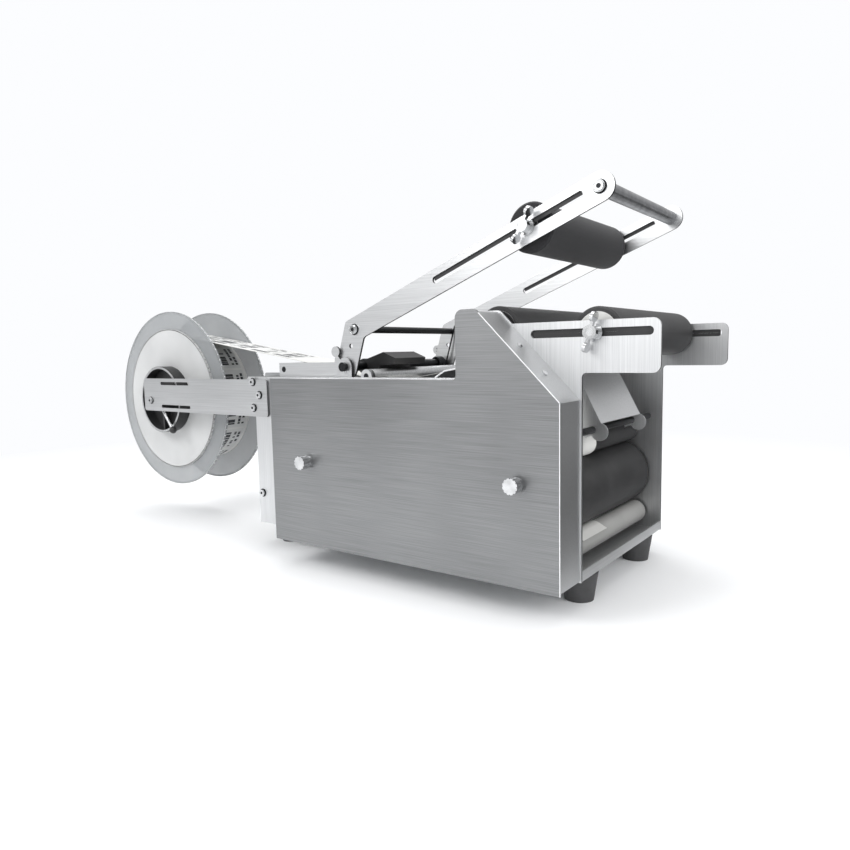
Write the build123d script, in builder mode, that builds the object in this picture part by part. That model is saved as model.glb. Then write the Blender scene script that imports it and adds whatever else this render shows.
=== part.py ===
"""Table-top bottle labelling machine, modelled piece by piece.

Millimetres. +X runs forward (the side the bottle is laid in from), +Y runs away from the drive
cover towards the control box, +Z is up. The origin is on the table, under the middle of the
machine's box. Three reference planes carry every station: the front edge of the frame plates
(front_x), the outer face of the drive cover (cover_y) and the underside of the floor plate (base_z).
"""
import math
import os

from build123d import *

os.makedirs("parts", exist_ok=True)

# Frame plates and floor
plate_t = 3.0
inner_width = 251.0
frame_length = 500.0
side_height = 212.0
slope_start = 191.0
hump_top = 285.0
hump_back = 119.0
hump_round = 8.75
front_arm_reach = 79.0
front_arm_low = 218.0
front_arm_high = 270.0
front_arm_corner = 8.0
front_arm_root = 5.0
ear_length = 16.0
ear_low = 160.0
bolt_edge = 7.5
bolt_step = 13.0
low_bolt_z = 44.0
low_bolt_inset = 8.0
bolt_r = 5.0
bolt_head = 3.5
floor_t = 3.0
lip_height = 12.0
sheet_t = 1.5
deck_front = 315.0
rear_panel_t = 2.0

# Drive side
drive_depth = 50.0
cover_t = 2.0
cover_length = 410.0
housing_inset = 1.5
knob_r = 8.5
knob_length = 15.0
knob_z = 108.0
knob_front = 47.0
knob_rear_inset = 65.0
knob_rear = cover_length - knob_rear_inset
post_r = 7.0
knob_tab_t = 5.0
stud_r = 3.0

# Feet
foot_height = 32.0
foot_top_r = 21.0
foot_bottom_r = 16.0
foot_front = 20.0
foot_rear_inset = 24.0
foot_rear = frame_length - foot_rear_inset
foot_inset = 37.0

# Adjusting slots and clamped studs
slot_width = 8.4
slot_stud_r = 4.0
front_slot_z = 258.0
front_slot_back = 57.0
front_slot_ahead = 72.0
washer_r = 9.0
wing_root_in = 1.0
washer_t = 1.5
wing_hub_r = 7.0
wing_hub_length = 11.0
wing_span = 38.0
wing_height = 15.0
wing_t = 3.0
slide_gap = 0.3

# Rollers
run_gap = 0.05
roller_shaft_r = 6.0
support_r = 26.0
rear_roller_back = 100.0
rear_roller_z = 264.0
front_roller_ahead = 13.0
roller_end_gap = 5.0
sleeve_t = 5.0
journal_r = 5.0
bush_r = 8.0
bush_flange_r = 11.0
bush_flange_t = 1.5
traction_r = 42.0
traction_back = 57.0
traction_z = 76.0
nip_gap = 1.3
pinch_r = 14.0
pinch_back = 45.0
idler_r = 14.5
idler_back = 33.0
guide_r = 9.0
cross_shaft_r = 4.0
rear_guide_back = 445.0
rear_guide_lift = 10.0
front_guide_back = 290.0
front_guide_z = 213.0
guide_lug_low = 190.0
guide_lug_r = 9.0

# Pressure arms
arm_t = 3.0
arm_near_gap = 8.0
arm_span = 217.0
pivot_back = 330.0
pivot_z = 225.0
pivot_shaft_r = 6.0
leg_width = 35.0
leg_angle = 72.0
beam_width = 30.0
beam_angle = 21.16
elbow_rise = 50.0
beam_length = 352.0
beam_slot_length = 200.0
beam_slot_from_tip = 21.5
beam_slot_offset = 2.5
beam_slot_width = 8.4
elbow_tube_r = 4.5
handle_r = 8.0
press_r = 27.0
press_end_gap = 5.5
press_length = arm_span - 2 * press_end_gap
press_place = 77.0
stop_pin_r = 3.0
bracket_t = 3.0
bracket_gap = 1.0
bracket_post_r = 12.0

# Reel
reel_behind = 258.0
reel_back = frame_length + reel_behind
reel_z = 172.0
disc_r = 146.0
disc_t = 3.0
disc_near = 87.0
disc_space = 75.0
flange_r = 117.0
hub_r = 55.0
hub_length = 20.0
hub_wall = 4.0
core_r = 38.0
roll_r = 107.0
reel_shaft_r = 8.0
reel_bracket_t = 3.0
reel_bracket_low = 155.0
reel_bracket_high = 208.0
reel_bracket_end = 19.0
reel_bracket_lap = 29.0
reel_slot_width = 5.0
reel_slot_length = 77.0

# Backing paper and the plates that guide it
web_width = 66.0
web_t = 0.6
web_clear = 0.3
web_notch_margin = 8.0
web_notch_rear = 9.5
peel_tail_back = 170.0
peel_tail_z = 219.0
peel_edge_back = 55.0
peel_edge_z = 237.0
peel_t = 2.0
chute_near = 120.0
chute_width = 124.0
chute_rod_back = 18.0
chute_rod_z = 152.0
chute_nose_r = 10.0
chute_edge_gap = 10.0
chute_drop = 7.0
web_out = 10.0

# Motor, pulleys and belts
motor_back = 190.0
motor_z = 100.0
gearbox_size = 72.0
gearbox_length = 40.0
motor_r = 33.0
motor_length = 95.0
belt_t = 1.5
belt_width = 10.0
belt_gap = 0.25
motor_pulley_r = 16.0
traction_big_r = 24.0
traction_small_r = 21.0
roller_pulley_r = 13.0
pulley_flange = 2.0
belt_plane_a = 35.0
belt_plane_b = 17.0

# Control box on the far plate
box_front = 60.0
box_rear_gap = 100.0
box_length = frame_length - box_front - box_rear_gap
box_low = 8.0
box_height = 192.0
box_depth = 62.0
box_wall = 2.0
panel_t = 1.5
upper_row_drop = 70.0
lower_row_rise = 62.0
dial_inset = 60.0
display_inset = 105.0
start_inset = 125.0
stop_inset = 85.0
switch_rise = 52.0
inlet_rise = 112.0
dial_r = 12.0
dial_height = 14.0
button_r = 8.0
button_proud = 4.0
button_travel = 2.0
button_gap = 0.3

# Reference planes, from the extents of the machine
rear_reach = reel_back + disc_r
front_x = (rear_reach + front_arm_reach) / 2 - front_arm_reach
near_reach = knob_length
far_reach = drive_depth + 2 * plate_t + inner_width + box_depth + panel_t + dial_height
cover_y = near_reach - (near_reach + far_reach) / 2
base_z = foot_height

near_out = cover_y + drive_depth
near_in = near_out + plate_t
far_in = near_in + inner_width
far_out = far_in + plate_t
roller_y = near_in + roller_end_gap
roller_length = inner_width - 2 * roller_end_gap


def side_plane(y):
    """Drawing plane across the machine at y: its x runs forward and its y runs up."""
    return Plane.XZ.offset(-y)


def at(back, height):
    """A point of the side view: back from the front edge, up from the floor plate."""
    return (front_x - back, base_z + height)


def corner(sketch, point):
    """The corner of a sketch nearest to a point."""
    return sketch.vertices().sort_by_distance((point[0], point[1], 0))[0]


def turned(centre, steps, bore_r=0.0):
    """A piece turned about a cross axis. Each step is (near y, radius, length)."""
    with BuildPart() as piece:
        for y, radius, length in steps:
            with BuildSketch(side_plane(y)):
                with Locations(centre):
                    Circle(radius)
            extrude(amount=-length)
        if bore_r:
            ends = [s[0] for s in steps] + [s[0] + s[2] for s in steps]
            with BuildSketch(side_plane(min(ends) - 1)):
                with Locations(centre):
                    Circle(bore_r)
            extrude(amount=-(max(ends) - min(ends) + 2), mode=Mode.SUBTRACT)
    return piece


def polar(centre, radius, degrees):
    """A point at a radius and an angle round a centre of the side view."""
    a = math.radians(degrees)
    return (centre[0] + radius * math.cos(a), centre[1] + radius * math.sin(a))


# Frame plates: one outline, with the hump that carries the rear roller, the slotted arm in front
# and the ear that carries the reel bracket.
slope_top = hump_top - slope_start
front_slot_mid = (front_slot_ahead - front_slot_back) / 2
front_slot_span = front_slot_ahead + front_slot_back - slot_width
rear_roller_at = at(rear_roller_back, rear_roller_z)
front_roller_at = at(-front_roller_ahead, front_slot_z)
traction_at = at(traction_back, traction_z)
pinch_rise = math.sqrt((traction_r + pinch_r + nip_gap) ** 2 - (traction_back - pinch_back) ** 2)
pinch_at = at(pinch_back, traction_z + pinch_rise)
idler_fall = math.sqrt((traction_r + idler_r + nip_gap) ** 2 - (traction_back - idler_back) ** 2)
idler_at = at(idler_back, traction_z - idler_fall)
front_guide_at = at(front_guide_back, front_guide_z)
rear_guide_at = at(rear_guide_back, side_height + rear_guide_lift)
chute_rod_at = at(chute_rod_back, chute_rod_z)
motor_at = at(motor_back, motor_z)
cross_axes = [pinch_at, idler_at, chute_rod_at]
bolt_low = ear_low + bolt_edge
bolt_high = side_height - bolt_edge
bracket_bolt_spots = [at(frame_length, bolt_high), at(frame_length - bolt_step, (bolt_low + bolt_high) / 2),
                      at(frame_length, bolt_low)]


def frame_plate(y, is_near):
    """One upright frame plate, with its near face at y."""
    outline = [
        at(frame_length, 0),
        at(0, 0),
        at(0, front_arm_low),
        at(-front_arm_reach, front_arm_low),
        at(-front_arm_reach, front_arm_high),
        at(front_arm_high - slope_start, front_arm_high),
        at(slope_top, hump_top),
        at(hump_back, hump_top),
        at(hump_back, side_height),
        at(frame_length + ear_length, side_height),
        at(frame_length + ear_length, ear_low),
        at(frame_length, ear_low),
    ]
    with BuildPart() as plate:
        with BuildSketch(side_plane(y)) as face:
            Polygon(*outline, align=None)
            fillet([corner(face, outline[i]) for i in (3, 4)], front_arm_corner)
            fillet([corner(face, outline[i]) for i in (6, 7)], hump_round)
            fillet([corner(face, outline[i]) for i in (2, 8, 9, 10)], front_arm_root)
            with Locations(at(-front_slot_mid, front_slot_z)):
                SlotCenterToCenter(front_slot_span, slot_width, mode=Mode.SUBTRACT)
            with Locations(rear_roller_at, traction_at):
                Circle(bush_r, mode=Mode.SUBTRACT)
            with Locations(*cross_axes):
                Circle(cross_shaft_r, mode=Mode.SUBTRACT)
            with Locations(*bracket_bolt_spots):
                Circle(stud_r, mode=Mode.SUBTRACT)
            if is_near:
                with Locations(motor_at):
                    Circle(bush_r, mode=Mode.SUBTRACT)
        extrude(amount=-plate_t)
        lug_y = y + plate_t if is_near else y - bracket_t
        with BuildSketch(side_plane(lug_y)):
            Polygon(at(front_guide_back + guide_lug_r, guide_lug_low),
                    at(front_guide_back - guide_lug_r, guide_lug_low),
                    at(front_guide_back - guide_lug_r, front_guide_z),
                    at(front_guide_back + guide_lug_r, front_guide_z), align=None)
            with Locations(front_guide_at):
                Circle(guide_lug_r)
                Circle(cross_shaft_r, mode=Mode.SUBTRACT)
        extrude(amount=-bracket_t)
        if is_near:
            with BuildSketch(side_plane(y)):
                with Locations(at(knob_rear, knob_z)):
                    Circle(post_r)
                    Circle(stud_r + slide_gap, mode=Mode.SUBTRACT)
            extrude(amount=drive_depth - cover_t)
    return plate


near_frame_plate = frame_plate(near_out, True)
near_frame_plate.part.label = "near_frame_plate"
export_step(near_frame_plate.part, "parts/near_frame_plate.step")

far_frame_plate = frame_plate(far_in, False)
far_frame_plate.part.label = "far_frame_plate"
export_step(far_frame_plate.part, "parts/far_frame_plate.step")

# Floor plate, with a lip turned up at the front between the frame plates
with BuildPart() as floor_plate:
    with BuildSketch(side_plane(near_in)):
        Polygon(at(frame_length, 0), at(0, 0), at(0, lip_height), at(floor_t, lip_height),
                at(floor_t, floor_t), at(frame_length, floor_t), align=None)
    extrude(amount=-inner_width)
    fillet(floor_plate.edges().filter_by(Axis.Y).group_by(Axis.X)[-1].sort_by(Axis.Z)[0], floor_t / 2)
floor_plate.part.label = "floor_plate"
export_step(floor_plate.part, "parts/floor_plate.step")

# Rear panel, with a row of cooling slots low down
with BuildPart() as rear_panel:
    with BuildSketch(Plane.YZ.offset(front_x - frame_length)):
        with Locations(((near_in + far_in) / 2, base_z + (floor_t + side_height - plate_t) / 2)):
            Rectangle(inner_width, side_height - plate_t - floor_t)
            with GridLocations(16, 0, 9, 1):
                SlotCenterToCenter(40, 6, rotation=90, mode=Mode.SUBTRACT)
    extrude(amount=rear_panel_t)
rear_panel.part.label = "rear_panel"
export_step(rear_panel.part, "parts/rear_panel.step")

# Deck plate over the rear half, which carries the pivot brackets. The backing paper dives through
# the wide notch in its front edge, and the round feet of the pressure arms turn in the narrow ones.
arm_near_y = near_in + arm_near_gap
arm_far_y = arm_near_y + arm_t + arm_span
arm_notch_gap = 0.8
arm_notch_back = pivot_back + leg_width / 2 + 3
web_y = cover_y + disc_near + disc_t + (disc_space - web_width) / 2
web_mid_y = web_y + web_width / 2
web_lift = web_clear + web_t / 2
guide_line_r = guide_r + web_lift
guide_span = math.hypot(front_guide_at[0] - rear_guide_at[0], front_guide_at[1] - rear_guide_at[1])
guide_fall = math.degrees(math.atan2(front_guide_at[1] - rear_guide_at[1],
                                     front_guide_at[0] - rear_guide_at[0]))
dive = 90 + guide_fall - math.degrees(math.asin(2 * guide_line_r / guide_span))
dive_from = polar(rear_guide_at, guide_line_r, dive)
dive_to = polar(front_guide_at, guide_line_r, dive + 180)
dive_share = (dive_from[1] - base_z - side_height) / (dive_from[1] - dive_to[1])
dive_x = dive_from[0] + dive_share * (dive_to[0] - dive_from[0])
web_notch_back = front_x - dive_x + web_notch_rear
with BuildPart() as deck_plate:
    with BuildSketch(Plane.XY.offset(base_z + side_height - plate_t)):
        with Locations((front_x - (frame_length + deck_front) / 2, (near_in + far_in) / 2)):
            Rectangle(frame_length - deck_front, inner_width)
        with Locations((front_x - (web_notch_back + deck_front) / 2, web_mid_y)):
            Rectangle(web_notch_back - deck_front, web_width + 2 * web_notch_margin, mode=Mode.SUBTRACT)
        for arm_y in (arm_near_y, arm_far_y):
            with Locations((front_x - (arm_notch_back + deck_front) / 2, arm_y + arm_t / 2)):
                Rectangle(arm_notch_back - deck_front, arm_t + 2 * arm_notch_gap, mode=Mode.SUBTRACT)
    extrude(amount=plate_t)
deck_plate.part.label = "deck_plate"
export_step(deck_plate.part, "parts/deck_plate.step")

# Drive housing: a bent rim that follows the cover, and the cover that closes it
cover_outline = [
    at(cover_length, 0),
    at(0, 0),
    at(0, slope_start),
    at(slope_top, hump_top),
    at(hump_back, hump_top),
    at(hump_back, side_height),
    at(cover_length, side_height),
]
with BuildPart() as drive_cover:
    with BuildSketch(side_plane(cover_y)) as cover_face:
        Polygon(*cover_outline, align=None)
        fillet([corner(cover_face, cover_outline[i]) for i in (3, 4)], hump_round)
        fillet(corner(cover_face, cover_outline[5]), front_arm_root)
        with Locations(at(knob_front, knob_z), at(knob_rear, knob_z)):
            Circle(stud_r + slide_gap, mode=Mode.SUBTRACT)
    extrude(amount=-cover_t)
drive_cover.part.label = "drive_cover"
export_step(drive_cover.part, "parts/drive_cover.step")

rim_depth = drive_depth - cover_t
with BuildPart() as drive_housing:
    with BuildSketch(side_plane(cover_y + cover_t)) as rim_face:
        Polygon(*cover_outline, align=None)
        fillet([corner(rim_face, cover_outline[i]) for i in (3, 4)], hump_round)
        fillet(corner(rim_face, cover_outline[5]), front_arm_root)
        offset(amount=-housing_inset, mode=Mode.REPLACE)
        offset(amount=-sheet_t, mode=Mode.SUBTRACT)
    extrude(amount=-rim_depth)
    with BuildSketch(side_plane(cover_y + cover_t)):
        with Locations(at((knob_front + post_r + housing_inset + sheet_t / 2) / 2, knob_z)):
            Rectangle(knob_front + post_r - housing_inset - sheet_t / 2, 2 * post_r)
        with Locations(at(knob_front, knob_z)):
            Circle(stud_r + slide_gap, mode=Mode.SUBTRACT)
    extrude(amount=-knob_tab_t)
drive_housing.part.label = "drive_housing"
export_step(drive_housing.part, "parts/drive_housing.step")

# Thumb knobs that hold the cover: a fluted head and the stud that screws into the post behind
with BuildPart() as cover_knobs:
    for knob_back in (knob_front, knob_rear):
        knob_at = at(knob_back, knob_z)
        with BuildSketch(side_plane(cover_y)):
            with Locations(knob_at):
                Circle(knob_r * 0.8)
        extrude(amount=knob_length * 0.3)
        with BuildSketch(side_plane(cover_y - knob_length * 0.3)):
            with Locations(knob_at):
                Circle(knob_r)
                with PolarLocations(knob_r, 12):
                    Circle(knob_r * 0.1, mode=Mode.SUBTRACT)
        extrude(amount=knob_length * 0.7)
        with BuildSketch(side_plane(cover_y)):
            with Locations(knob_at):
                Circle(stud_r)
        extrude(amount=-(cover_t + knob_tab_t))
cover_knobs.part.label = "cover_knobs"
export_step(cover_knobs.part, "parts/cover_knobs.step")

# Hexagon bolts of the reel brackets, the bolt low on each plate and the rim's two screws
rear_strip = frame_length - cover_length
low_bolt_back = frame_length - min(low_bolt_inset, rear_strip / 2)
low_bolt_r = min(bolt_r, rear_strip / 2 - slide_gap)
with BuildPart() as frame_screws:
    for spot in bracket_bolt_spots:
        for face_y, out in ((near_out - reel_bracket_t, 1), (far_out + reel_bracket_t, -1)):
            with BuildSketch(side_plane(face_y)):
                with Locations(spot):
                    RegularPolygon(bolt_r, 6)
            extrude(amount=out * bolt_head)
            with BuildSketch(side_plane(face_y)):
                with Locations(spot):
                    Circle(stud_r)
            extrude(amount=-out * (reel_bracket_t + plate_t))
    for face_y, out in ((near_out, 1), (far_out, -1)):
        with BuildSketch(side_plane(face_y)):
            with Locations(at(low_bolt_back, low_bolt_z)):
                RegularPolygon(low_bolt_r, 6)
        extrude(amount=out * bolt_head)
    for share in (0.3, 0.6):
        rim_x = front_x - share * slope_top - housing_inset / math.sqrt(2)
        rim_z = base_z + slope_start + share * slope_top - housing_inset / math.sqrt(2)
        rim_y = cover_y + cover_t + rim_depth / 2
        with BuildSketch(Plane(origin=(rim_x, rim_y, rim_z), x_dir=(0, 1, 0), z_dir=(1, 0, 1))):
            Circle(stud_r)
        extrude(amount=sheet_t)
frame_screws.part.label = "frame_screws"
export_step(frame_screws.part, "parts/frame_screws.step")

# Four tapered rubber feet
with BuildPart() as feet:
    for foot_x in (front_x - foot_front, front_x - foot_rear):
        for foot_y in (near_in + foot_inset, far_in - foot_inset):
            with BuildSketch(Plane.XY):
                with Locations((foot_x, foot_y)):
                    Circle(foot_bottom_r)
            with BuildSketch(Plane.XY.offset(foot_height)):
                with Locations((foot_x, foot_y)):
                    Circle(foot_top_r)
            loft()
feet.part.label = "feet"
export_step(feet.part, "parts/feet.step")

# Reel brackets: flat slotted bars on the outside of the frame plates
reel_at = at(reel_back, reel_z)
bracket_high_mid = (reel_bracket_low + reel_bracket_high) / 2
bracket_rear = reel_back + reel_bracket_end
bracket_front = frame_length - reel_bracket_lap


def reel_bracket(y):
    """One slotted bar that carries an end of the reel shaft, with its near face at y."""
    slot_back = reel_back - reel_bracket_end - reel_slot_length / 2 - 10
    with BuildPart() as bar:
        with BuildSketch(side_plane(y)) as face:
            with Locations(at((bracket_rear + bracket_front) / 2, bracket_high_mid)):
                RectangleRounded(bracket_rear - bracket_front, reel_bracket_high - reel_bracket_low, 4)
            slot_rows = (reel_bracket_low + 8, reel_bracket_high - 8)
            with Locations(*[at(slot_back, row) for row in slot_rows]):
                SlotOverall(reel_slot_length, reel_slot_width, mode=Mode.SUBTRACT)
            with Locations(*bracket_bolt_spots, reel_at):
                Circle(stud_r, mode=Mode.SUBTRACT)
        extrude(amount=-reel_bracket_t)
    return bar


near_reel_bracket = reel_bracket(near_out - reel_bracket_t)
near_reel_bracket.part.label = "near_reel_bracket"
export_step(near_reel_bracket.part, "parts/near_reel_bracket.step")

far_reel_bracket = reel_bracket(far_out)
far_reel_bracket.part.label = "far_reel_bracket"
export_step(far_reel_bracket.part, "parts/far_reel_bracket.step")

# Reel shaft between the brackets, with two collars that keep the reel in its place and an end
# screw through each bracket
disc_y = cover_y + disc_near
far_disc_y = disc_y + disc_t + disc_space
flange_y = disc_y - disc_t
hub_y = flange_y - hub_length
shaft_span = far_out - near_out
collar_t = 8.0
clamp_y = hub_y - 8.0
reel_shaft = turned(reel_at, [
    (near_out, reel_shaft_r, shaft_span),
    (far_disc_y + disc_t + slide_gap, reel_shaft_r + 6, collar_t),
    (near_out - reel_bracket_t - bolt_head, bolt_r, bolt_head),
    (near_out - reel_bracket_t, stud_r, reel_bracket_t),
    (far_out, stud_r, reel_bracket_t),
    (far_out + reel_bracket_t, bolt_r, bolt_head),
])
reel_shaft.part.label = "reel_shaft"
export_step(reel_shaft.part, "parts/reel_shaft.step")

# The reel: two side discs, a flange, a black hub with a core sleeve, and the roll between them
reel_hub = turned(reel_at, [
    (hub_y, hub_r, hub_length),
    (flange_y, core_r - 0.5, far_disc_y + disc_t - flange_y),
], reel_shaft_r + run_gap)
with reel_hub:
    with BuildSketch(side_plane(hub_y)) as hub_pocket:
        with Locations(reel_at):
            Circle(hub_r - hub_wall)
            Circle(reel_shaft_r + 12, mode=Mode.SUBTRACT)
    extrude(hub_pocket.sketch, amount=-(hub_length - hub_wall), mode=Mode.SUBTRACT)
    with BuildSketch(side_plane(hub_y + hub_wall)) as hub_ribs:
        with Locations(reel_at):
            with PolarLocations((hub_r + reel_shaft_r + 8) / 2, 3, start_angle=30):
                Rectangle(hub_r - reel_shaft_r - 10, hub_wall)
    extrude(hub_ribs.sketch, amount=-(hub_length - hub_wall))
reel_hub.part.label = "reel_hub"
export_step(reel_hub.part, "parts/reel_hub.step")

outer_disc = turned(reel_at, [(disc_y, disc_r, disc_t)], core_r - 0.5)
outer_disc.part.label = "outer_disc"
export_step(outer_disc.part, "parts/outer_disc.step")

inner_disc = turned(reel_at, [(far_disc_y, disc_r, disc_t)], core_r - 0.5)
inner_disc.part.label = "inner_disc"
export_step(inner_disc.part, "parts/inner_disc.step")

flange_disc = turned(reel_at, [(flange_y, flange_r, disc_t)], core_r - 0.5)
flange_disc.part.label = "flange_disc"
export_step(flange_disc.part, "parts/flange_disc.step")

roll_margin = 0.5
roll_y = disc_y + disc_t + roll_margin
roll_width = disc_space - 2 * roll_margin
label_roll = turned(reel_at, [(roll_y, roll_r, roll_width)], core_r - 0.5)
label_roll.part.label = "label_roll"
export_step(label_roll.part, "parts/label_roll.step")

# Clamp lever of the reel: a collar on the shaft with a thin rod and a ball end
lever_angle = -52.0
lever_length = 62.0
lever_rod_r = 2.5
lever_ball_r = 5.5
clamp_t = 6.0
clamp_lever = turned(reel_at, [(clamp_y, reel_shaft_r + 7, clamp_t)], reel_shaft_r + run_gap)
with clamp_lever:
    lever_a = math.radians(lever_angle)
    lever_dir = (math.cos(lever_a), 0, math.sin(lever_a))
    lever_y = clamp_y + clamp_t / 2
    rod_start = polar(reel_at, reel_shaft_r + 4, lever_angle)
    rod_plane = Plane(origin=(rod_start[0], lever_y, rod_start[1]), x_dir=(0, 1, 0), z_dir=lever_dir)
    with BuildSketch(rod_plane) as lever_rod:
        Circle(lever_rod_r)
    extrude(lever_rod.sketch, amount=lever_length - reel_shaft_r - 4)
    ball = polar(reel_at, lever_length, lever_angle)
    with Locations((ball[0], lever_y, ball[1])):
        Sphere(lever_ball_r)
clamp_lever.part.label = "clamp_lever"
export_step(clamp_lever.part, "parts/clamp_lever.step")

# Pivot brackets: upright bars that stand on the deck and carry the pivot shaft and the rear guide,
# each with a pin that stops its pressure arm at rest
near_bracket_y = arm_near_y - bracket_gap - bracket_t
far_bracket_y = arm_far_y + arm_t + bracket_gap
pivot_at = at(pivot_back, pivot_z)
leg_left = leg_angle + 90
bar_rise = rear_guide_lift + guide_r
stop_at = polar(polar(pivot_at, leg_width / 2 + stop_pin_r + slide_gap, leg_left), 14.0, leg_angle)
with BuildPart() as pivot_brackets:
    for y in (near_bracket_y, far_bracket_y):
        with BuildSketch(side_plane(y)):
            Polygon(at(rear_guide_back + guide_r, side_height), at(pivot_back - bracket_post_r, side_height),
                    at(pivot_back - bracket_post_r, pivot_z), at(pivot_back + bracket_post_r, pivot_z),
                    at(pivot_back + bracket_post_r, side_height + bar_rise),
                    at(rear_guide_back + guide_r, side_height + bar_rise), align=None)
            with Locations(pivot_at):
                Circle(bracket_post_r)
            with Locations(stop_at):
                Circle(stop_pin_r + 4)
            Polygon(pivot_at, at(pivot_back + 20, side_height + 3), stop_at, align=None)
            with Locations(pivot_at):
                Circle(pivot_shaft_r, mode=Mode.SUBTRACT)
            with Locations(rear_guide_at):
                Circle(cross_shaft_r, mode=Mode.SUBTRACT)
        extrude(amount=-bracket_t)
    for y in (near_bracket_y, arm_far_y):
        with BuildSketch(side_plane(y)):
            with Locations(stop_at):
                Circle(stop_pin_r)
        extrude(amount=-(bracket_t + bracket_gap + arm_t))
pivot_brackets.part.label = "pivot_brackets"
export_step(pivot_brackets.part, "parts/pivot_brackets.step")

collar_proud = 5.0
pivot_shaft = turned(pivot_at, [
    (near_bracket_y - collar_proud, pivot_shaft_r, far_bracket_y + bracket_t - near_bracket_y + 2 * collar_proud),
])
pivot_shaft.part.label = "pivot_shaft"
export_step(pivot_shaft.part, "parts/pivot_shaft.step")

# Pressure arms: bent levers cut from plate, with a long slot for the roller shaft
elbow_at = polar(pivot_at, elbow_rise, leg_angle)
tip_at = polar(elbow_at, beam_length, beam_angle)
slot_end = polar(polar(tip_at, -beam_slot_from_tip, beam_angle), beam_slot_offset, beam_angle + 90)
slot_mid = polar(slot_end, -(beam_slot_length / 2 - beam_slot_width / 2), beam_angle)
press_at = polar(slot_end, -(press_place - front_roller_ahead), beam_angle)
bend = math.radians((leg_angle - beam_angle))


def miter(side):
    """Where the edges of leg and beam meet, on one side of the elbow."""
    leg_edge = polar(elbow_at, side * leg_width / 2, leg_left)
    run = side * (beam_width / 2 - leg_width / 2 * math.cos(bend)) / math.sin(bend)
    return polar(leg_edge, run, leg_angle)


def press_arm(y):
    """One pressure arm, with its near face at y."""
    with BuildPart() as arm:
        with BuildSketch(side_plane(y)) as face:
            Polygon(polar(pivot_at, leg_width / 2, leg_left), miter(1),
                    polar(tip_at, beam_width / 2, beam_angle + 90),
                    polar(tip_at, -beam_width / 2, beam_angle + 90), miter(-1),
                    polar(pivot_at, -leg_width / 2, leg_left), align=None)
            fillet(corner(face, miter(1)), 6)
            fillet(corner(face, miter(-1)), 8)
            with Locations(pivot_at):
                Circle(leg_width / 2)
            with Locations(tip_at):
                Circle(beam_width / 2)
            with Locations(slot_mid):
                SlotOverall(beam_slot_length, beam_slot_width, rotation=beam_angle, mode=Mode.SUBTRACT)
            with Locations(pivot_at):
                Circle(pivot_shaft_r + run_gap, mode=Mode.SUBTRACT)
            with Locations(elbow_at, tip_at):
                Circle(stud_r, mode=Mode.SUBTRACT)
            with Locations(polar(pivot_at, elbow_rise * 0.56, leg_angle)):
                Circle(stud_r, mode=Mode.SUBTRACT)
        extrude(amount=-arm_t)
    return arm


near_press_arm = press_arm(arm_near_y)
near_press_arm.part.label = "near_press_arm"
export_step(near_press_arm.part, "parts/near_press_arm.step")

far_press_arm = press_arm(arm_far_y)
far_press_arm.part.label = "far_press_arm"
export_step(far_press_arm.part, "parts/far_press_arm.step")

elbow_tube = turned(elbow_at, [(arm_near_y + arm_t, elbow_tube_r, arm_span)])
elbow_tube.part.label = "elbow_tube"
export_step(elbow_tube.part, "parts/elbow_tube.step")

handle_rod = turned(tip_at, [(arm_near_y + arm_t, handle_r, arm_span)])
handle_rod.part.label = "handle_rod"
export_step(handle_rod.part, "parts/handle_rod.step")

# Bolts at the elbow and the tip of each arm
with BuildPart() as arm_bolts:
    for spot in (elbow_at, tip_at):
        for face_y, out in ((arm_near_y, 1), (arm_far_y + arm_t, -1)):
            with BuildSketch(side_plane(face_y)):
                with Locations(spot):
                    Circle(bolt_r + 1)
            extrude(amount=out * bolt_head)
            with BuildSketch(side_plane(face_y)):
                with Locations(spot):
                    Circle(stud_r)
            extrude(amount=-out * arm_t)
arm_bolts.part.label = "arm_bolts"
export_step(arm_bolts.part, "parts/arm_bolts.step")

# Return spring: a torsion coil round the pivot shaft. One leg lies in front of the elbow tube and
# the other reaches back to the deck.
spring_wire = 2.6
spring_pitch = 3.0
spring_r = pivot_shaft_r + spring_wire / 2 + 1.2
leg_gap = 0.2
front_leg_angle = leg_angle + math.degrees(math.asin(
    (spring_r - elbow_tube_r - spring_wire / 2 - leg_gap) / elbow_rise))
rear_leg_angle = 187.0
spring_turns = 5 + (front_leg_angle + 270 - rear_leg_angle - 90) / 360
rear_leg_length = 24.0
front_leg_length = elbow_rise + 10
spring_y = arm_far_y - spring_turns * spring_pitch - 6
spring_centre = (pivot_at[0], spring_y, pivot_at[1])
with BuildPart() as return_spring:
    with BuildLine() as coil:
        turns = Helix(spring_pitch, spring_turns * spring_pitch, spring_r, center=spring_centre,
                      direction=(0, 1, 0), lefthand=True, mode=Mode.PRIVATE)
        turns = turns.rotate(Axis(spring_centre, (0, 1, 0)), -rear_leg_angle)
        Line((turns @ 0) - (turns % 0) * rear_leg_length, turns @ 0)
        add(turns)
        Line(turns @ 1, (turns @ 1) + (turns % 1) * front_leg_length)
    with BuildSketch(Plane(origin=coil.wire() @ 0, z_dir=coil.wire() % 0)) as wire_end:
        RegularPolygon(spring_wire / 2, 6)
    sweep(sections=wire_end.sketch, path=coil.wire(), is_frenet=True)
return_spring.part.label = "return_spring"
export_step(return_spring.part, "parts/return_spring.step")

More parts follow.
